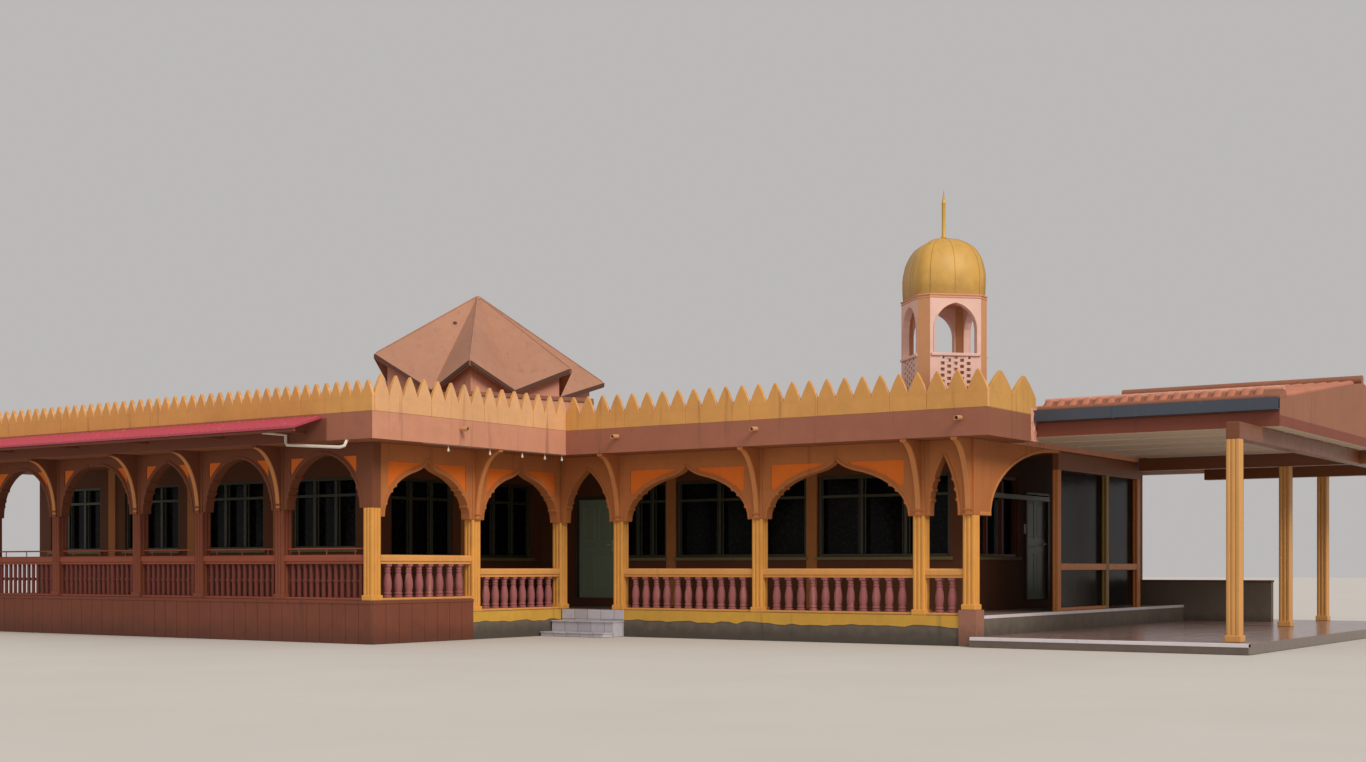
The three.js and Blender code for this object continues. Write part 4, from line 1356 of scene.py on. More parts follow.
@dataclass
class Turret:
    """The corner turret: a tower with pointed openings over a lattice, a gored dome and a spire."""

    turn: float = QUARTER / 2
    width: float = 1.155
    chamfer: float = 0.153
    opening: float = 0.70
    sill: float = 4.647
    springing: float = 5.035
    apex: float = 5.445
    dome_half: float = 0.56

    def plan(self, half: float, cut: float) -> Outline:
        """A square with its corners cut off.

        Args:
            half: Half of its width.
            cut: How much of each side is cut off.

        Returns:
            Its corners in order.
        """
        return [(-half + cut, -half), (half - cut, -half), (half, -half + cut), (half, half - cut),
                (half - cut, half), (-half + cut, half), (-half, half - cut), (-half, -half + cut)]

    def each_side(self, shape: Piece) -> list[Piece]:
        """The shape on all four faces."""
        return [shape, *(Bench.copied(shape, turn=QUARTER * side) for side in (1, 2, 3))]

    def trims(self) -> list[Piece]:
        """Models the frame round each opening and its sill.

        Returns:
            The shapes.
        """
        half = self.width / 2
        arch = Arch.POINTED.half(self.opening / 2, self.apex - self.springing)
        inner = [(x - self.opening / 2, self.springing + z) for x, z in arch]
        outer = [(x - self.opening / 2, self.springing + z) for x, z in Arch.outside(arch, 0.018)]
        shapes = []
        for mirror in (1, -1):
            spots = [(-self.opening / 2, self.sill), *inner, *reversed(outer),
                     (-self.opening / 2 - 0.018, self.sill)]
            shapes.append(Bench.traced([(mirror * x, -half - 0.012, z) for x, z in spots], (0, 0.02, 0),
                                       0.003))
        reach = self.opening / 2 + 0.06
        shapes.append(Bench.block((-reach, -half - 0.03, self.sill - 0.05), (reach, -half + 0.02, self.sill),
                                  0.008))
        return [copy for shape in shapes for copy in self.each_side(shape)]

    def bands(self, low: float, high: float) -> list[Piece]:
        """The mouldings at the foot and under the dome.

        Args:
            low: The tower's foot.
            high: Its top.

        Returns:
            The mouldings.
        """
        half, cut = self.width / 2, self.chamfer
        shapes = []
        for level, height, out in ((low, 0.10, 0.03), (high - 0.07, 0.025, 0.008),
                                   (high - 0.03, 0.028, 0.016)):
            ring = [(x, y, level) for x, y in self.plan(half + out, cut + out * 0.6)]
            shapes.append(Bench.traced(ring, (0, 0, height), 0.008))
        return shapes

    def dome(self, foot: float, height: float) -> tuple[Piece, list[Piece]]:
        """The dome of eight gores and the thin seams over it.

        Args:
            foot: The dome's foot.
            height: Its height.

        Returns:
            The dome and its seams.
        """
        cut = self.chamfer * self.dome_half / (self.width / 2)
        swell = [(0.985, 0.0), (0.995, 0.10), (1.0, 0.20), (1.0, 0.33), (0.985, 0.42), (0.96, 0.50),
                 (0.93, 0.58),
                 (0.88, 0.66), (0.81, 0.745), (0.71, 0.83), (0.55, 0.90), (0.40, 0.95), (0.18, 0.985)]
        ring = [(x * swell[0][0], y * swell[0][0], foot) for x, y in self.plan(self.dome_half, cut)]
        piece = Bench.wire([*ring, ring[0]])
        bpy.ops.mesh.remove_doubles(threshold=0.001)
        bpy.ops.mesh.edge_face_add()
        for (before, low), (scale, level) in zip(swell, swell[1:]):
            bpy.ops.mesh.extrude_region_move(TRANSFORM_OT_translate={"value": (0, 0, (level - low) * height)})
            bpy.ops.transform.resize(value=(scale / before, scale / before, 1), center_override=(0, 0, 0))
        bpy.ops.mesh.select_all(action="SELECT")
        bpy.ops.mesh.normals_make_consistent(inside=False)
        Bench.clear()
        dome = Bench.smooth(piece, 60)
        crown = (0.0, 0.0, foot + height)
        seams = []
        lines = self.plan(self.dome_half, cut) + [(self.dome_half, 0.0), (0.0, self.dome_half),
                                                  (-self.dome_half, 0.0), (0.0, -self.dome_half)]
        for x, y in lines:
            path = [(x * (scale + 0.002), y * (scale + 0.002), foot + level * height) for scale,
                    level in swell]
            seams.append(Bench.tube([*path, crown], 0.004, 2))
        return dome, seams

    def build(self) -> None:
        """Models the turret's details round its body."""
        low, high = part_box("turret_body")
        facade = Facade(middle(low.x, high.x), middle(low.y, high.y), self.turn)
        dress("turret_body", Paint.TURRET)
        facade.finish("turret_trims", Paint.TURRET, self.trims())
        facade.finish("turret_bands", Paint.CORNER, self.bands(low.z + 0.1, high.z))
        dome_low, dome_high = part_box("turret_dome")
        dome, seams = self.dome(dome_low.z, dome_high.z - dome_low.z)
        facade.finish("turret_dome_gores", Paint.DOME, dome, replaces=["turret_dome"])
        facade.finish("turret_dome_seams", Paint.SEAM, seams)
        spire_low, spire_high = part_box("turret_spire")
        rise = spire_high.z - spire_low.z
        profile = [(0.0, 0.0), (0.050, 0.0), (0.052, 0.012), (0.036, 0.03), (0.030, 0.05),
                   (0.030, rise * 0.70),
                   (0.034, rise * 0.71), (0.034, rise * 0.73), (0.026, rise * 0.75), (0.0, rise)]
        facade.finish("turret_spire_rod", Paint.SPIRE, Bench.turned(profile, (0, 0, spire_low.z), 18),
                      replaces=["turret_spire"])


@dataclass
class Opening:
    """A window in a wall: its place along the wall, and its height."""

    left: float
    right: float
    low: float
    high: float

    @classmethod
    def row(cls, length: float, count: int, width: float, low: float, high: float) -> list[Opening]:
        """Evenly spread windows.

        Args:
            length: The wall's length.
            count: How many windows there are.
            width: Their width.
            low: Their sill.
            high: Their head.

        Returns:
            The windows.
        """
        pitch = length / count
        centres = [pitch * (index + 0.5) for index in range(count)]
        return [cls(centre - width / 2, centre + width / 2, low, high) for centre in centres]


@dataclass
class HallWall:
    """One wall of the hall: its window frames, sills and pilasters."""

    name: str
    turn: float
    windows: list[Opening]
    lights: int = 3
    pilaster: float = 0.22
    bar: float = 0.055
    depths: tuple[float, float] = (0.03, 0.10)
    transom: float = 0.73
    bead: float = 0.02
    bead_depths: tuple[float, float] = (0.06, 0.085)
    frame: Paint = Paint.FRAME

    def window(self, opening: Opening) -> list[Piece]:
        """The frame, mullions and transom of one window.

        Args:
            opening: The window.

        Returns:
            The bars.
        """
        (front, back), bar = self.depths, self.bar
        left, right, low, high = opening.left, opening.right, opening.low, opening.high
        transom = low + (high - low) * self.transom
        bars = [
            Bench.block((left, front, low), (left + bar, back, high)),
            Bench.block((right - bar, front, low), (right, back, high)),
            Bench.block((left + bar, front, low), (right - bar, back, low + bar)),
            Bench.block((left + bar, front, high - bar), (right - bar, back, high)),
            Bench.block((left + bar, front + 0.006, transom), (right - bar, back - 0.006, transom + bar)),
        ]
        for light in range(1, self.lights):
            x = left + (right - left) * light / self.lights
            bars.append(Bench.block((x - bar / 2, front + 0.003, low + bar),
                                    (x + bar / 2, back - 0.003, high - bar)))
        for light in range(self.lights):
            inner_left = left + (right - left) * light / self.lights + bar
            inner_right = left + (right - left) * (light + 1) / self.lights - bar
            for edge_low, edge_high in ((low + bar, transom), (transom + bar, high - bar)):
                for a, b in ((inner_left, inner_left + self.bead), (inner_right - self.bead, inner_right)):
                    near, far = self.bead_depths
                    bars.append(Bench.block((a, near, edge_low), (b, far, edge_high), 0.003))
        return bars

    def build(self) -> None:
        """Dresses the wall and its glass and models its trim."""
        facade, _, low, high = side_of(f"hall_wall_{self.name}", self.turn)
        dress(f"hall_wall_{self.name}", Paint.HALL)
        dress(f"glazing_{self.name}", Paint.GLASS)
        bars, sills = [], []
        for opening in self.windows:
            bars += self.window(opening)
            sills.append(Bench.block((opening.left - 0.06, -0.045, opening.low - 0.06),
                                     (opening.right + 0.06, 0.03, opening.low), 0.01, 2))
        facade.finish(f"window_frames_{self.name}", self.frame, bars)
        facade.finish(f"window_sills_{self.name}", Paint.SILL, sills)
        half = self.pilaster / 2
        strips = [
            Bench.block((middle(a.right, b.left) - half, -0.03, low.z),
                        (middle(a.right, b.left) + half, 0.01, high.z))
            for a, b in zip(self.windows, self.windows[1:])]
        if strips:
            facade.finish(f"pilasters_{self.name}", Paint.BAND, strips)


@dataclass
class SideDoorTrim:
    """The pale bar over the side door and the window beside it, and the plate of its lock."""

    bar: tuple[float, float, float, float] = (1.07, 3.74, 2.50, 2.59)
    plate: tuple[float, float, float, float] = (2.59, 2.68, 1.87, 2.05)

    def build(self) -> None:
        """Models the bar and the plate on the face of the wall."""
        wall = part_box("hall_wall_right")
        start, face = wall[0].y, wall[1].x
        near, far, low, high = self.bar
        bar = Bench.block((face - 0.01, start + near, low), (face + 0.03, start + far, high), 0.005)
        WORLD.finish("side_head_bar", Paint.DOOR, bar)
        near, far, low, high = self.plate
        plate = Bench.block((face - 0.002, start + near, low), (face + 0.012, start + far, high), 0.004)
        WORLD.finish("side_lock_plate", Paint.PIPE, plate)


@dataclass
class Door:
    """A panelled door leaf with a body of its own, with the frame that it closes into."""

    node: str
    body: str
    turn: float
    stile: float = 0.115
    rail: float = 0.13
    muntin: float = 0.05
    lock_rail: float = 0.86
    middle_rail: float = 1.02
    backset: float = 0.075
    plate: tuple[float, float] = (0.93, 1.15)
    lever: tuple[float, float] = (1.04, 1.064)
    jamb: float = 0.05
    clear: float = 0.016
    lap: float = 0.008
    frame_depths: tuple[float, float] = (-0.062, -0.02)

    def build(self) -> None:
        """Models the leaf, its panels and furniture, and the frame."""
        facade, width, low, high = side_of(self.node, self.turn)
        depth = min(high.x - low.x, high.y - low.y)
        base, top = low.z, high.z
        stile, rail, muntin = self.stile, self.rail, self.muntin
        leaf = [Bench.block((0, 0.008, base), (width, depth - 0.008, top), 0.002)]
        rails = [base, base + self.lock_rail, base + self.middle_rail, top - rail]
        for left, right in ((0.0, stile), (width - stile, width), (width / 2 - muntin, width / 2 + muntin)):
            leaf.append(Bench.block((left, 0.0, base), (right, depth, top), 0.004))
        for level in rails:
            leaf.append(Bench.block((stile - 0.01, 0.0005, level),
                                    (width - stile + 0.01, depth - 0.0005, level + rail), 0.004))
        for left, right in ((stile, width / 2 - muntin), (width / 2 + muntin, width - stile)):
            for bottom, upper in ((base + rail, base + self.lock_rail),
                                  (base + self.middle_rail + rail, top - rail)):
                leaf.append(Bench.block((left + 0.03, 0.003, bottom + 0.03),
                                        (right - 0.03, depth - 0.003, upper - 0.03), 0.014, 2))
        facade.finish(f"{self.node}_leaf", Paint.DOOR, leaf, replaces=[self.node], body=self.body)
        plate_x = width - self.backset
        low_plate, high_plate = (base + level for level in self.plate)
        low_lever, high_lever = (base + level for level in self.lever)
        plate = [Bench.block((plate_x - 0.028, -0.006, low_plate), (plate_x + 0.028, 0.002, high_plate),
                             0.004),
                 Bench.block((plate_x - 0.012, -0.045, low_lever), (plate_x + 0.012, 0.0, high_lever), 0.006,
                             2),
                 Bench.block((plate_x - 0.13, -0.055, low_lever), (plate_x + 0.012, -0.035, high_lever),
                             0.008, 2)]
        facade.finish(f"{self.node}_handle", Paint.PIPE, plate, body=self.body)
        front, back = self.frame_depths
        left, right, head = -self.clear, width + self.lap, top + self.lap
        frame = [Bench.block((left - self.jamb, front, base - self.lap), (left, back, head + self.jamb),
                             0.006),
                 Bench.block((right, front, base - self.lap), (right + self.jamb, back, head + self.jamb),
                             0.006),
                 Bench.block((left, front, head), (right, back, head + self.jamb), 0.006)]
        facade.finish(f"{self.node}_frame", Paint.FRAME, frame)


@dataclass
class Pyramid:
    """The folded roof on its drum, with capped ridges, boarded eaves and a small vent; the boards and the
    vent are painted dark brown as painted shade.
    """

    place: Point = (-8.05, 4.15015)
    turn: float = -52.3
    reaches: tuple[float, ...] = (2.84, 2.65, 3.60, 2.84, 2.84, 2.72)
    prows: tuple[float, ...] = (6.01, 6.01, 6.01, 6.01, 6.01, 6.33)
    low_reach: float = 1.95
    apex: float = 7.94
    low: float = 5.44
    thickness: float = 0.12
    drum: float = 3.25
    drum_top: float = 5.25
    coping: tuple[float, float, float] = (1.012, 0.09, 0.095)
    ridge: float = 0.015
    board: float = 0.03
    vent_face: int = 10
    vent_shares: tuple[float, float] = (0.131, 0.217)
    vent_radius: float = 0.05

    def vent(self, rim: Sequence[Vector], apex: Vector) -> Piece:
        """A small round vent, square to the fold that it sits on, painted dark as painted shade for its
        opening.

        Args:
            rim: The corners of the eaves.
            apex: The top of the roof.

        Returns:
            The vent.
        """
        first, second = rim[self.vent_face] - apex, rim[self.vent_face + 1] - apex
        place = apex + first * self.vent_shares[0] + second * self.vent_shares[1]
        normal = first.cross(second).normalized()
        if normal.z < 0:
            normal = -normal
        radius = self.vent_radius
        vent = Bench.turned([(0.0, -0.02), (radius, -0.02), (radius, 0.006), (radius * 0.8, 0.014),
                             (0.0, 0.014)],
                            steps=16)
        return Bench.placed(vent, place, normal.to_track_quat("Z", "Y").to_euler())

    def rim(self) -> list[Vector]:
        """Works out the corners of the eaves, as prows and low points in turn.

        Returns:
            The corners.
        """
        corners = []
        for side, (reach, prow) in enumerate(zip(self.reaches, self.prows)):
            for turn, out, height in ((0, reach, prow), (30, self.low_reach, self.low)):
                angle = math.radians(self.turn + side * 60 + turn)
                corners.append(Vector((out * math.cos(angle), out * math.sin(angle), height)))
        return corners

    def build(self) -> None:
        """Dresses the drum and the roof and models the trim."""
        dress("roof_drum", Paint.DRUM)
        dress("pyramid_roof", Paint.ROOF)
        facade = Facade(self.place[0], self.place[1])
        rim = self.rim()
        apex = Vector((0.0, 0.0, self.apex))
        ridges, boards = [], []
        for index, corner in enumerate(rim):
            following = rim[(index + 1) % len(rim)]
            if index % 2 == 0:
                ridges.append(Bench.tube([apex + (corner - apex) * share for share in (0.02, 0.5, 0.985)],
                                         self.ridge))
            run = (following - corner).normalized()
            out = Vector((run.y, -run.x, 0.0)).normalized() * self.board
            drop = Vector((0.0, 0.0, -self.thickness + 0.02))
            start, end = corner + run * 0.02, following - run * 0.02
            boards.append(Bench.traced([start, end, end + drop, start + drop], out, 0.004))
        ridges.append(Bench.turned([(0.0, -0.10), (0.10, -0.10), (0.07, -0.03), (0.03, -0.008),
                                    (0.0, -0.005)],
                                   (0, 0, self.apex), 12))
        facade.finish("pyramid_ridges", Paint.ROOF, ridges)
        # The eave boards and the vent are painted dark brown as painted shade.
        facade.finish("pyramid_eaves", Paint.EAVE_BOARD, boards)
        facade.finish("pyramid_vent", Paint.EAVE_BOARD, self.vent(rim, apex))
        plan = [(self.drum * math.cos(a), self.drum * math.sin(a))
                for a in (math.radians(self.turn + side * 60) for side in range(6))]
        share, drop, height = self.coping
        ring = Bench.traced([(x * share, y * share, self.drum_top - drop) for x, y in plan], (0, 0, height),
                            0.01)
        facade.finish("drum_coping", Paint.EDGE, ring)


@dataclass
class Screen:
    """The side arch and the glazed screen behind it."""

    foot: float = 0.42
    rise: float = 1.16
    run: float = 3.23
    springing: float = 2.06
    halves: tuple[float, ...] = (0.075, 0.06, 0.08)
    half_depth: float = 0.055
    split: float = 0.58
    head: float = 2.94
    rail: tuple[float, float] = (1.19, 1.31)
    sill: float = 0.06
    inset: float = 0.012

    def arch(self) -> None:
        """Dresses the half arch and models its edge."""
        dress("arcade_side", Paint.ARCH)
        facade = side_of("arcade_side", QUARTER)[0]
        curve = [(self.foot + (self.run - self.foot) * (1 - math.cos(a)),
                  self.springing + self.rise * math.sin(a))
                 for a in (QUARTER * step / 16 for step in range(17))]
        strip = [*curve, *reversed(Arch.outside(curve, 0.05))]
        shapes = [Bench.traced([(x, -0.012, z) for x, z in strip], (0, 0.014, 0), 0.003)]
        shapes.append(Bench.block((0.0, -0.02, self.springing), (self.foot, 0.01, self.springing + 0.06),
                                  0.008))
        facade.finish("side_arch_edge", Paint.BAND, shapes)

    def build(self) -> None:
        """Models the arch's edge and the screen."""
        self.arch()
        dress("screen_glass", Paint.GLASS)
        facade, length, low, high = side_of("side_screen", QUARTER)
        deep = high.x - low.x
        front, back = self.inset, deep - self.inset
        first, _, last = self.halves
        places = (first, self.split * length, length - last)
        posts = []
        for x, half in zip(places, self.halves):
            plan = [(x + a, deep / 2 + b * self.half_depth / half, low.z) for a, b in ribbed(half, 2, 0.012)]
            posts.append(Bench.traced(plan, (0, 0, self.head - low.z)))
        rails = [Bench.block((0.02, front, self.rail[0]), (length - 0.02, back, self.rail[1]), 0.01, 2),
                 Bench.block((0.02, front, low.z), (places[1], back, low.z + self.sill), 0.008)]
        facade.finish("screen_posts", Paint.SCREEN, [posts[0], posts[2], *rails], replaces=["side_screen"])
        facade.finish("screen_middle_post", Paint.MIDDLE_POST, posts[1])
        lintel = Bench.block((0, -0.006, self.head), (length, deep, high.z), 0.01, 2)
        facade.finish("screen_lintel", Paint.BEAM, lintel)


@dataclass
class Porch:
    """The side porch: ribbed posts, beams, gutter, clay roof and tiled floor."""

    insets: tuple[Point, ...] = ((0.36, 0.565), (1.57, 7.77), (1.90, 11.78))
    half: float = 0.10
    beam: float = 3.09
    eaves: float = 3.74
    ridge: float = 4.44
    pitch: float = 0.21
    edge_roll: float = 0.055
    ridge_roll: float = 0.085
    batten_pitch: float = 1.2
    course_inset: float = 0.10
    course_rise: float = 0.17
    course_steps: tuple[float, float, float] = (0.20, 0.28, 0.40)

    def frame(self) -> None:
        """The posts with their beams."""
        floor_low, floor_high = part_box("porch_floor")
        low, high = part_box("porch_frame")
        half, foot, top = self.half, floor_high.z, high.z
        places = [(floor_high.x - x, floor_low.y + y) for x, y in self.insets]
        shapes = []
        for x, y in places:
            shapes.append(Bench.traced([(x + a, y + b, foot) for a, b in ribbed(half, 3, 0.014)],
                                       (0, 0, self.beam - foot)))
            shapes.append(Bench.block((x - half - 0.02, y - half - 0.02, foot),
                                      (x + half + 0.02, y + half + 0.02, foot + 0.10), 0.012, 2))
        WORLD.finish("porch_posts", Paint.WOOD, shapes, replaces=["porch_frame"])
        back = places[-1][1] + half
        outer = places[0]
        beams = [Bench.block((outer[0] - half, outer[1] - half, self.beam), (outer[0] + half, back, top),
                             0.012, 2)]
        for _, y in places[1:]:
            beams.append(Bench.block((low.x, y - half, self.beam + 0.001), (high.x, y + half, top - 0.001),
                                     0.012, 2))
        WORLD.finish("porch_beams", Paint.BEAM, beams)

    def roof(self) -> None:
        """The clay tiles in rows, the roll at their edge and ridge, and the board below."""
        low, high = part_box("porch_roof")
        mid = middle(low.y, high.y)
        count = int((high.x - low.x - 0.04) / self.pitch)
        radius, lift = self.pitch * 0.36, 0.012
        arc = [(radius * math.cos(a), lift + radius * 0.75 * math.sin(a))
               for a in (math.pi * s / 6 for s in range(7))]
        section = [(radius, -0.02), *arc, (-radius, -0.02)]
        slopes = []
        for edge, way in ((low.y + 0.01, 1), (high.y - 0.01, -1)):
            run = Vector((0.0, mid - edge - way * 0.02, self.ridge - self.eaves - 0.01))
            tile = Bench.traced([(low.x + self.pitch / 2 + x, edge, self.eaves + z) for x, z in section], run)
            slopes.append(Bench.row(Bench.smooth(tile, 50), count, (self.pitch, 0, 0)))
        WORLD.finish("porch_tiles", Paint.CLAY, slopes)
        side_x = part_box("parapet_side")[1].x
        end, edge, level, top = high.x - 0.01, low.y + 0.06, self.eaves + 0.035, self.ridge + 0.05
        rolls = [Bench.tube([(side_x + 0.01, edge, level), (end, edge, level)], self.edge_roll, 4),
                 Bench.tube([(low.x + 0.01, mid, top), (end, mid, top)], self.ridge_roll, 4)]
        WORLD.finish("porch_rolls", Paint.EDGE, rolls)
        self.front_course(side_x, low, high)
        ceiling_low, ceiling_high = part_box("porch_ceiling")
        board = Bench.block((side_x + 0.006, ceiling_low.y - 0.024, ceiling_low.z - 0.01),
                            (high.x - 0.002, ceiling_low.y - 0.002, ceiling_high.z + 0.06), 0.004)
        WORLD.finish("porch_board", Paint.CEILING, board)
        battens = [Bench.block((ceiling_low.x + 0.2, y, ceiling_low.z - 0.012),
                               (high.x - 0.05, y + 0.03, ceiling_low.z + 0.004), 0.003)
                   for y in (ceiling_low.y + self.batten_pitch * n for n in range(1, 8))]
        WORLD.finish("ceiling_battens", Paint.NOSING, battens)

    def front_course(self, left: float, low: Vector, high: Vector) -> None:
        """The steeper course of tiles over the gutter, with the pinkish roll along its top.

        Args:
            left: Where the course starts.
            low: The roof's lowest corner.
            high: Its highest corner.
        """
        front, foot, top = low.y + self.course_inset, self.eaves - 0.01, self.eaves + self.course_rise
        crest, back, heel = self.course_steps
        section = [(front, foot), (front + crest, top), (front + back, top), (front + heel, foot)]
        wedge = Bench.traced([(left + 0.02, y, z) for y, z in section], (high.x - left - 0.04, 0, 0), 0.004)
        WORLD.finish("front_course_bed", Paint.EDGE, wedge)
        radius = self.pitch * 0.30
        ring = [(radius * math.cos(a), 0.01 + radius * 0.7 * math.sin(a))
                for a in (math.pi * s / 6 for s in range(7))]
        outline = [(radius, -0.01), *ring, (-radius, -0.01)]
        tile = Bench.traced([(left + self.pitch / 2 + x, front, foot + 0.01 + z) for x, z in outline],
                            (0.0, 0.19, top - foot - 0.02))
        count = int((high.x - left - 0.08) / self.pitch)
        WORLD.finish("front_course_tiles", Paint.CLAY,
                     Bench.row(Bench.smooth(tile, 50), count, (self.pitch, 0, 0)))
        roll = Bench.tube([(left + 0.03, front + 0.24, top + 0.02),
                           (high.x - 0.03, front + 0.24, top + 0.02)], 0.05, 4)
        WORLD.finish("front_course_roll", Paint.ROUGH, roll)

    def gutter(self) -> None:
        """The box gutter along the porch's edge, with its joint."""
        low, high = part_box("porch_gutter")
        wall = 0.012
        section = [(low.y, low.z), (high.y, low.z), (high.y, high.z), (high.y - wall, high.z),
                   (high.y - wall, low.z + wall), (low.y + wall, low.z + wall), (low.y + wall, high.z - wall),
                   (low.y + 2 * wall, high.z - wall), (low.y + 2 * wall, high.z), (low.y, high.z)]
        shapes = [Bench.traced([(low.x, y, z) for y, z in section], (high.x - low.x, 0, 0))]
        joint = low.x + 1.3
        shapes.append(Bench.block((joint, low.y - 0.006, low.z - 0.006),
                                  (joint + 0.06, high.y - 0.002, high.z + 0.004), 0.003))
        shapes.append(Bench.block((low.x, low.y + 0.002, low.z + 0.002),
                                  (low.x + 0.01, high.y - 0.002, high.z - 0.01), 0.0))
        WORLD.finish("porch_gutter_box", Paint.GUTTER, shapes, replaces=["porch_gutter"])

    def build(self) -> None:
        """Models the porch."""
        for node, paint in (("porch_floor", Paint.TILE), ("porch_ceiling", Paint.CEILING),
                            ("porch_roof", Paint.EDGE), ("porch_low_wall", Paint.PLINTH)):
            dress(node, paint)
        self.frame()
        self.roof()
        self.gutter()
        low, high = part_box("porch_floor")
        nosing = Bench.block((low.x + 0.005, low.y - 0.006, high.z - 0.05),
                             (high.x, low.y + 0.10, high.z + 0.003), 0.004)
        WORLD.finish("porch_nosing", Paint.NOSING, nosing)
        wall_low, wall_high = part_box("porch_low_wall")
        cap = Bench.block((wall_low.x, wall_low.y - 0.015, wall_high.z - 0.01),
                          (wall_high.x + 0.015, wall_high.y + 0.015, wall_high.z + 0.03), 0.01, 2)
        WORLD.finish("low_wall_cap", Paint.EAVES, cap)


@dataclass
class Awning:
    """The ribbed sheet over the wing's eaves, with its front rail, gutter pipe and brackets."""

    pitch: float = 0.15
    radius: float = 0.016
    drop: float = 0.2
    brackets: int = 7
    pipe: float = 0.026

    def build(self) -> None:
        """Models the ribs on the sheet, and what is below it."""
        dress("wing_awning", Paint.AWNING)
        low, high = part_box("wing_awning")
        count = int((high.x - low.x - 0.04) / self.pitch)
        run = Vector((0.0, low.y - high.y + 0.01, -self.drop + 0.003))
        ring = [(self.radius * math.cos(a), self.radius * math.sin(a))
                for a in (math.pi * s / 5 for s in range(6))]
        rib = Bench.traced([(low.x + 0.06 + x, high.y - 0.004, high.z - 0.002 + z) for x, z in ring], run)
        ribs = Bench.row(Bench.smooth(rib, 50), count, (self.pitch, 0, 0))
        WORLD.finish("awning_ribs", Paint.AWNING, ribs)
        rail = [Bench.block((low.x + 0.02, low.y + 0.03, low.z - 0.045),
                            (high.x - 0.02, low.y + 0.07, low.z - 0.002), 0.004)]
        arm = Bench.block((low.x + 0.3, low.y + 0.06, low.z - 0.04), (low.x + 0.34, high.y, low.z - 0.005),
                          0.004)
        step = (high.x - low.x - 0.7) / (self.brackets - 1)
        rail.append(Bench.row(arm, self.brackets, (step, 0, 0)))
        WORLD.finish("awning_rail", Paint.EAVES, rail)
        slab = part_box("roof_slab")[0]
        # Painted shade: a dark brown board covers the wing's fascia below the awning, where the fascia lies
        # in shade.
        board = Bench.block((low.x, high.y - 0.012, slab.z + 0.002),
                            (high.x + 0.1, high.y + 0.002, low.z + 0.19), 0.003)
        WORLD.finish("wing_fascia_shade_board", Paint.EAVES, board)
        x, y = high.x - 0.79, high.y - 0.05
        pipe = [(x, low.y + 0.08, low.z - 0.03), (x, y, low.z - 0.04), (x, y, 3.27), (x + 0.04, y, 3.22),
                (x + 1.24, y, 3.14), (x + 1.32, y + 0.02, 3.16), (x + 1.32, y + 0.08, slab.z - 0.002)]
        WORLD.finish("rain_pipe", Paint.PIPE, Bench.tube(pipe, self.pipe, 4))


@dataclass
class Bulbs:
    """A string of small bulbs under the return's eaves."""

    places: tuple[float, ...] = (-6.54, -5.50, -4.65, -4.03, -3.55)
    drop: float = 0.11

    def build(self) -> None:
        """Models the cord and the bulbs."""
        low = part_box("roof_slab")[0]
        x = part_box("parapet_return")[1].x - 0.06
        shapes = [Bench.tube([(x, self.places[0] - 0.6, low.z - 0.005),
                              (x, self.places[-1] + 0.12, low.z - 0.005)],
                             0.004, 1)]
        profile = [(0.0, 0.0), (0.018, 0.012), (0.022, 0.03), (0.014, 0.055), (0.011, 0.075), (0.006, 0.08),
                   (0.005, self.drop), (0.0, self.drop)]
        bulb = Bench.turned(profile, (x, 0.0, low.z - self.drop - 0.008), 10)
        shapes += [Bench.copied(bulb, (0, place, 0)) for place in self.places]
        bpy.data.objects.remove(bulb)
        WORLD.finish("string_bulbs", Paint.PIPE, shapes)


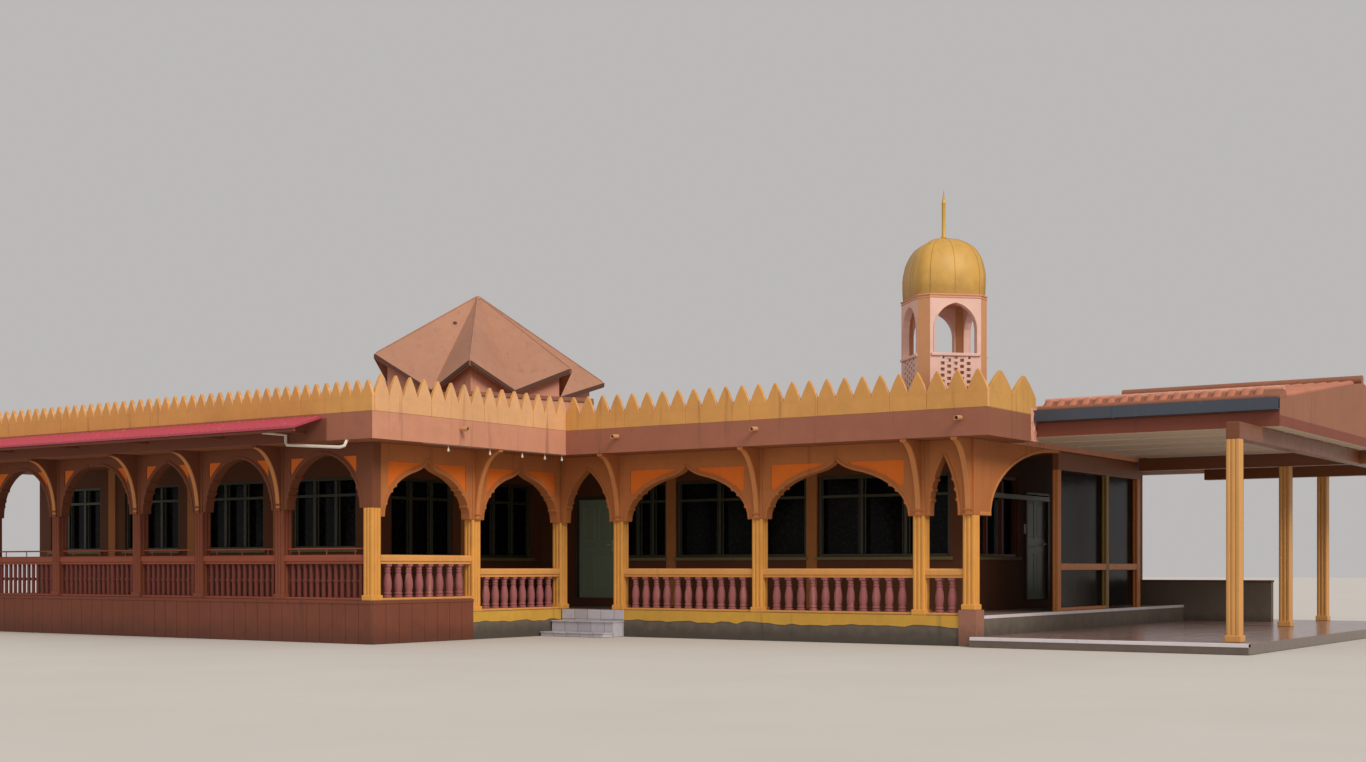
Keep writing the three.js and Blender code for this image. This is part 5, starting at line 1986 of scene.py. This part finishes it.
@dataclass
class Ground:
    """The plinths with their painted kerb and boards, the tiled steps and the corner pedestal."""

    kerb: float = 0.18
    kerb_step: float = 0.16
    uneven: float = 0.025
    board: float = 0.30
    seed: int = 11

    def kerb_band(self, facade: Facade, name: str, left: float, right: float, top: float) -> None:
        """A painted band along the top of a plinth, with an uneven lower edge.

        Args:
            facade: The plinth's side.
            name: The band's name.
            left: Where it starts.
            right: Where it ends.
            top: The plinth's top.
        """
        draw = random.Random(self.seed)
        count = max(3, round((right - left) / self.kerb_step))
        edge = [(left + (right - left) * index / count,
                 top - self.kerb + draw.uniform(-self.uneven, self.uneven))
                for index in range(count + 1)]
        outline = [(x, -0.008, z) for x, z in (*edge, (right, top - 0.001), (left, top - 0.001))]
        facade.finish(name, Paint.KERB, Bench.traced(outline, (0, 0.012, 0)))

    def boards(self, facade: Facade, name: str, length: float, top: float) -> None:
        """Upright boards on the wing's plinth, under a ledge.

        Args:
            facade: The plinth's side.
            name: The boards' name.
            length: Their length together.
            top: The plinth's top.
        """
        count = round(length / self.board)
        step = length / count
        plank = Bench.block((0.004, -0.014, 0.0), (step - 0.004, 0.002, top - 0.05), 0.004)
        ledge = Bench.block((0, -0.024, top - 0.055), (length, 0.002, top - 0.001), 0.006)
        facade.finish(name, Paint.BOARD, [Bench.row(plank, count, (step, 0, 0)), ledge])

    def steps(self) -> None:
        """The tiled treads and the riser behind them."""
        low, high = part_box("entrance_steps")
        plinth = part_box("balustrade_front_1")[0].z
        lower, tread = 0.08, middle(low.y, high.y)
        shapes = []
        for front, back, foot, top in ((low.y, tread, 0.0, lower), (tread, high.y, 0.0, high.z)):
            shapes.append(Bench.block((low.x, front + 0.015, foot), (high.x, back, top - 0.02), 0.004))
            shapes.append(Bench.block((low.x - 0.012, front - 0.006, top - 0.022),
                                      (high.x + 0.012, back + 0.002, top), 0.006, 2))
        riser = Bench.block((low.x, high.y - 0.012, high.z), (high.x, high.y + 0.003, plinth - 0.001), 0.004)
        WORLD.finish("step_tiles", Paint.STEP, [*shapes, riser], replaces=["entrance_steps"])

    def build(self) -> None:
        """Dresses what the building stands on and models its trim."""
        for node, paint in (("plinth_main", Paint.PLINTH), ("plinth_wing", Paint.PLINTH),
                            ("corner_pedestal", Paint.PEDESTAL)):
            dress(node, paint)
        main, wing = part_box("plinth_main"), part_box("plinth_wing")
        steps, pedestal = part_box("entrance_steps"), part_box("corner_pedestal")
        front = Facade(steps[1].x, steps[1].y + 0.0003)
        self.kerb_band(front, "kerb_front", 0.0, pedestal[0].x - steps[1].x - 0.002, main[1].z)
        inner = Facade(wing[1].x, wing[1].y, QUARTER)
        self.kerb_band(inner, "kerb_return", 0.0, steps[1].y - wing[1].y - 0.01, main[1].z)
        side = Facade(main[1].x, pedestal[1].y, QUARTER)
        length = main[1].y - pedestal[1].y
        side.finish("side_riser", Paint.NOSING,
                    Bench.block((0, -0.006, main[1].z - 0.05), (length, 0.004, main[1].z + 0.003), 0.004))
        self.boards(Facade(wing[0].x, wing[0].y), "wing_boards", wing[1].x - wing[0].x, wing[1].z)
        self.boards(Facade(wing[1].x, wing[0].y, QUARTER), "wing_end_boards", wing[1].y - wing[0].y,
                    wing[1].z)
        self.steps()


@dataclass
class Studio:
    """The pale floor, the soft lights and the camera at the photo's angle."""

    place: Point = (19.818, -27.38, 1.228)
    heading: float = 34.57
    focal: float = 1694.0
    width: float = 1366.0
    horizon: float = 187.0
    sensor: float = 36.0
    sky: float = 0.62
    suns: tuple[tuple[str, float, float, Point, Colour], ...] = (
        ("key", 2.15, 26.0, (50.0, 0.0, 70.0), (1.0, 0.92, 0.80)),
        ("fill", 0.30, 60.0, (62.0, 0.0, 10.0), (1.0, 0.95, 0.90)))

    def build(self) -> None:
        """Sets the stage."""
        Bench.clear()
        bpy.ops.mesh.primitive_plane_add(size=400, location=(0, 0, -0.004))
        floor = bpy.context.active_object
        bpy.ops.object.transform_apply(location=True, rotation=True, scale=True)
        floor.name = "studio_floor"
        graph = Graph("studio floor")
        shade = graph.mix(graph.noise(0.4, 3.0), rgb(196, 192, 186), rgb(206, 203, 198))
        floor.data.materials.append(graph.surface({"Base Color": shade, "Roughness": 0.9}))
        world = bpy.data.worlds.new("studio")
        bpy.context.scene.world = world
        world.use_nodes = True
        back = world.node_tree.nodes["Background"]
        back.inputs["Color"].default_value = (*rgb(232, 228, 228), 1.0)
        back.inputs["Strength"].default_value = self.sky
        bpy.context.scene.view_settings.view_transform = "Standard"
        for name, energy, spread, turn, colour in self.suns:
            light = bpy.data.lights.new(name, "SUN")
            light.energy = energy
            light.angle = math.radians(spread)
            light.color = colour
            lamp = bpy.data.objects.new(name, light)
            lamp.rotation_euler = tuple(math.radians(a) for a in turn)
            bpy.context.scene.collection.objects.link(lamp)
        camera = bpy.data.cameras.new("camera")
        camera.sensor_width = self.sensor
        camera.lens = self.sensor * self.focal / self.width
        camera.shift_y = self.horizon / self.width
        camera.clip_end = 500
        seer = bpy.data.objects.new("camera", camera)
        seer.location = self.place
        seer.rotation_euler = (QUARTER, 0.0, math.radians(self.heading))
        bpy.context.scene.collection.objects.link(seer)
        bpy.context.scene.camera = seer


@dataclass
class Mosque:
    """The whole building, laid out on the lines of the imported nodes."""

    clear: float = 0.1003
    arches: tuple[float, float] = (2.06, 3.02)
    wing_arches: tuple[float, float] = (2.20, 3.10)
    front_spouts: tuple[float, ...] = (1.97, 4.85, 8.55)
    return_spout: float = -6.30
    spout_drop: float = 0.15
    window: float = 1.68
    back_window: float = 2.1 * 0.7
    side_window: tuple[float, float] = (0.35, 2.35)
    sill: float = 1.43
    wing_sill_rise: float = 0.15
    head: float = 2.9
    parts: list[Any] = field(default_factory=list)

    def stations(self, nodes: Sequence[str], axis: int, start: float, end: float) -> list[float]:
        """The places of posts, from the balustrades between them.

        Args:
            nodes: The balustrades in order.
            axis: Nought for x, one for y.
            start: The first post, if no balustrade starts at it.
            end: The last post.

        Returns:
            The places.
        """
        found = [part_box(node)[0][axis] - self.clear for node in nodes]
        return [*([start] if abs(found[0] - start) > 0.2 else []), *found, end]

    def arcades(self) -> list[Arcade]:
        """Lays out the front's, the wing's and the return's arcade.

        Returns:
            The three arcades.
        """
        front_low, front_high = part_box("arcade_front")
        wing_low, wing_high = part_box("arcade_wing")
        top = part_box("roof_slab")[0].z
        floor, wing_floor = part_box("balustrade_front_1")[0].z, wing_low.z
        return_x, corner_x = front_low.x + 0.1, front_high.x - 0.1
        front_y, wing_y = front_high.y - 0.09, wing_high.y - 0.09
        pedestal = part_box("corner_pedestal")[1].z
        front = [x - return_x
                 for x in self.stations([f"balustrade_front_{n}" for n in (1, 2, 3)], 0, return_x, corner_x)]
        wing = [x - wing_low.x - 0.1 for x in
                self.stations([f"balustrade_wing_{n}" for n in range(1, 7)], 0, wing_low.x + 0.1, return_x)]
        back = [y - wing_y
                for y in self.stations(["balustrade_return_1", "balustrade_return_2"], 1, wing_y, front_y)]
        return [
            Arcade("arcade_front", "arcade_front", Facade(return_x, front_y), front, [floor] * 4 + [pedestal],
                   *self.arches, top, front[1:]),
            Arcade("arcade_wing", "arcade_wing", Facade(wing_low.x + 0.1, wing_y), wing, [wing_floor] * 7,
                   *self.wing_arches, top, wing[:-1], shouldered_over=2.5, paint=Paint.WING_POST,
                   arch_paint=Paint.WING_ARCH, last_paint=Paint.POST),
            Arcade("arcade_return", "arcade_return", Facade(return_x, wing_y, QUARTER), back, [floor] * 3,
                   *self.arches, top, [back[1]], own_first=False, own_last=False),
        ]

    def build(self) -> None:
        """Builds every part in order."""
        self.parts = [Ground(), *self.arcades()]
        self.parts += [Balustrade(f"balustrade_front_{n}") for n in (1, 2, 3)]
        self.parts += [Balustrade(f"balustrade_return_{n}") for n in (1, 2)]
        self.parts += [Balustrade(f"balustrade_wing_{n}", slats=True) for n in range(1, 7)]
        self.parts += [Roof(), Turret(), Pyramid(), Screen(), Porch(), Awning(), Bulbs()]
        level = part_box("roof_slab")[1].z - self.spout_drop
        front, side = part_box("parapet_front")[0].y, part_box("parapet_return")[1].x
        spouts = [(x, front, 0.0) for x in self.front_spouts]
        self.parts.append(Spouts([*spouts, (side, self.return_spout, QUARTER)], level))
        low, high = self.sill, self.head
        walls = {name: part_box(f"hall_wall_{name}") for name in ("return", "wing", "back", "west")}
        spans = {name: max(b.x - a.x, b.y - a.y) for name, (a, b) in walls.items()}
        self.parts += [
            HallWall("front", 0.0, [Opening(left, right, low, high) for left, right in FRONT_WINDOWS]),
            HallWall("return", QUARTER, Opening.row(spans["return"], 2, self.window, low, high)),
            HallWall("wing", 0.0,
                     Opening.row(spans["wing"], 4, self.window, low + self.wing_sill_rise, high)),
            HallWall("right", QUARTER, [Opening(*self.side_window, low, high)], frame=Paint.FRAME_RED),
            HallWall("back", 2 * QUARTER, Opening.row(spans["back"], 7, self.back_window, low, high)),
            HallWall("west", -QUARTER, Opening.row(spans["west"], 4, self.window, low, high)),
            Door("main_door", "main_door_leaf", 0.0),
            Door("side_door", "side_door_leaf", QUARTER),
            SideDoorTrim(),
        ]
        for part in self.parts:
            LOG.info("building %s", type(part).__name__)
            part.build()


def main() -> None:
    """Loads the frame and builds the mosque."""
    logging.basicConfig(level=logging.INFO, format="%(message)s")
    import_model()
    Studio().build()
    Mosque().build()
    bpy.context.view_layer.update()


if __name__ == "__main__":
    main()
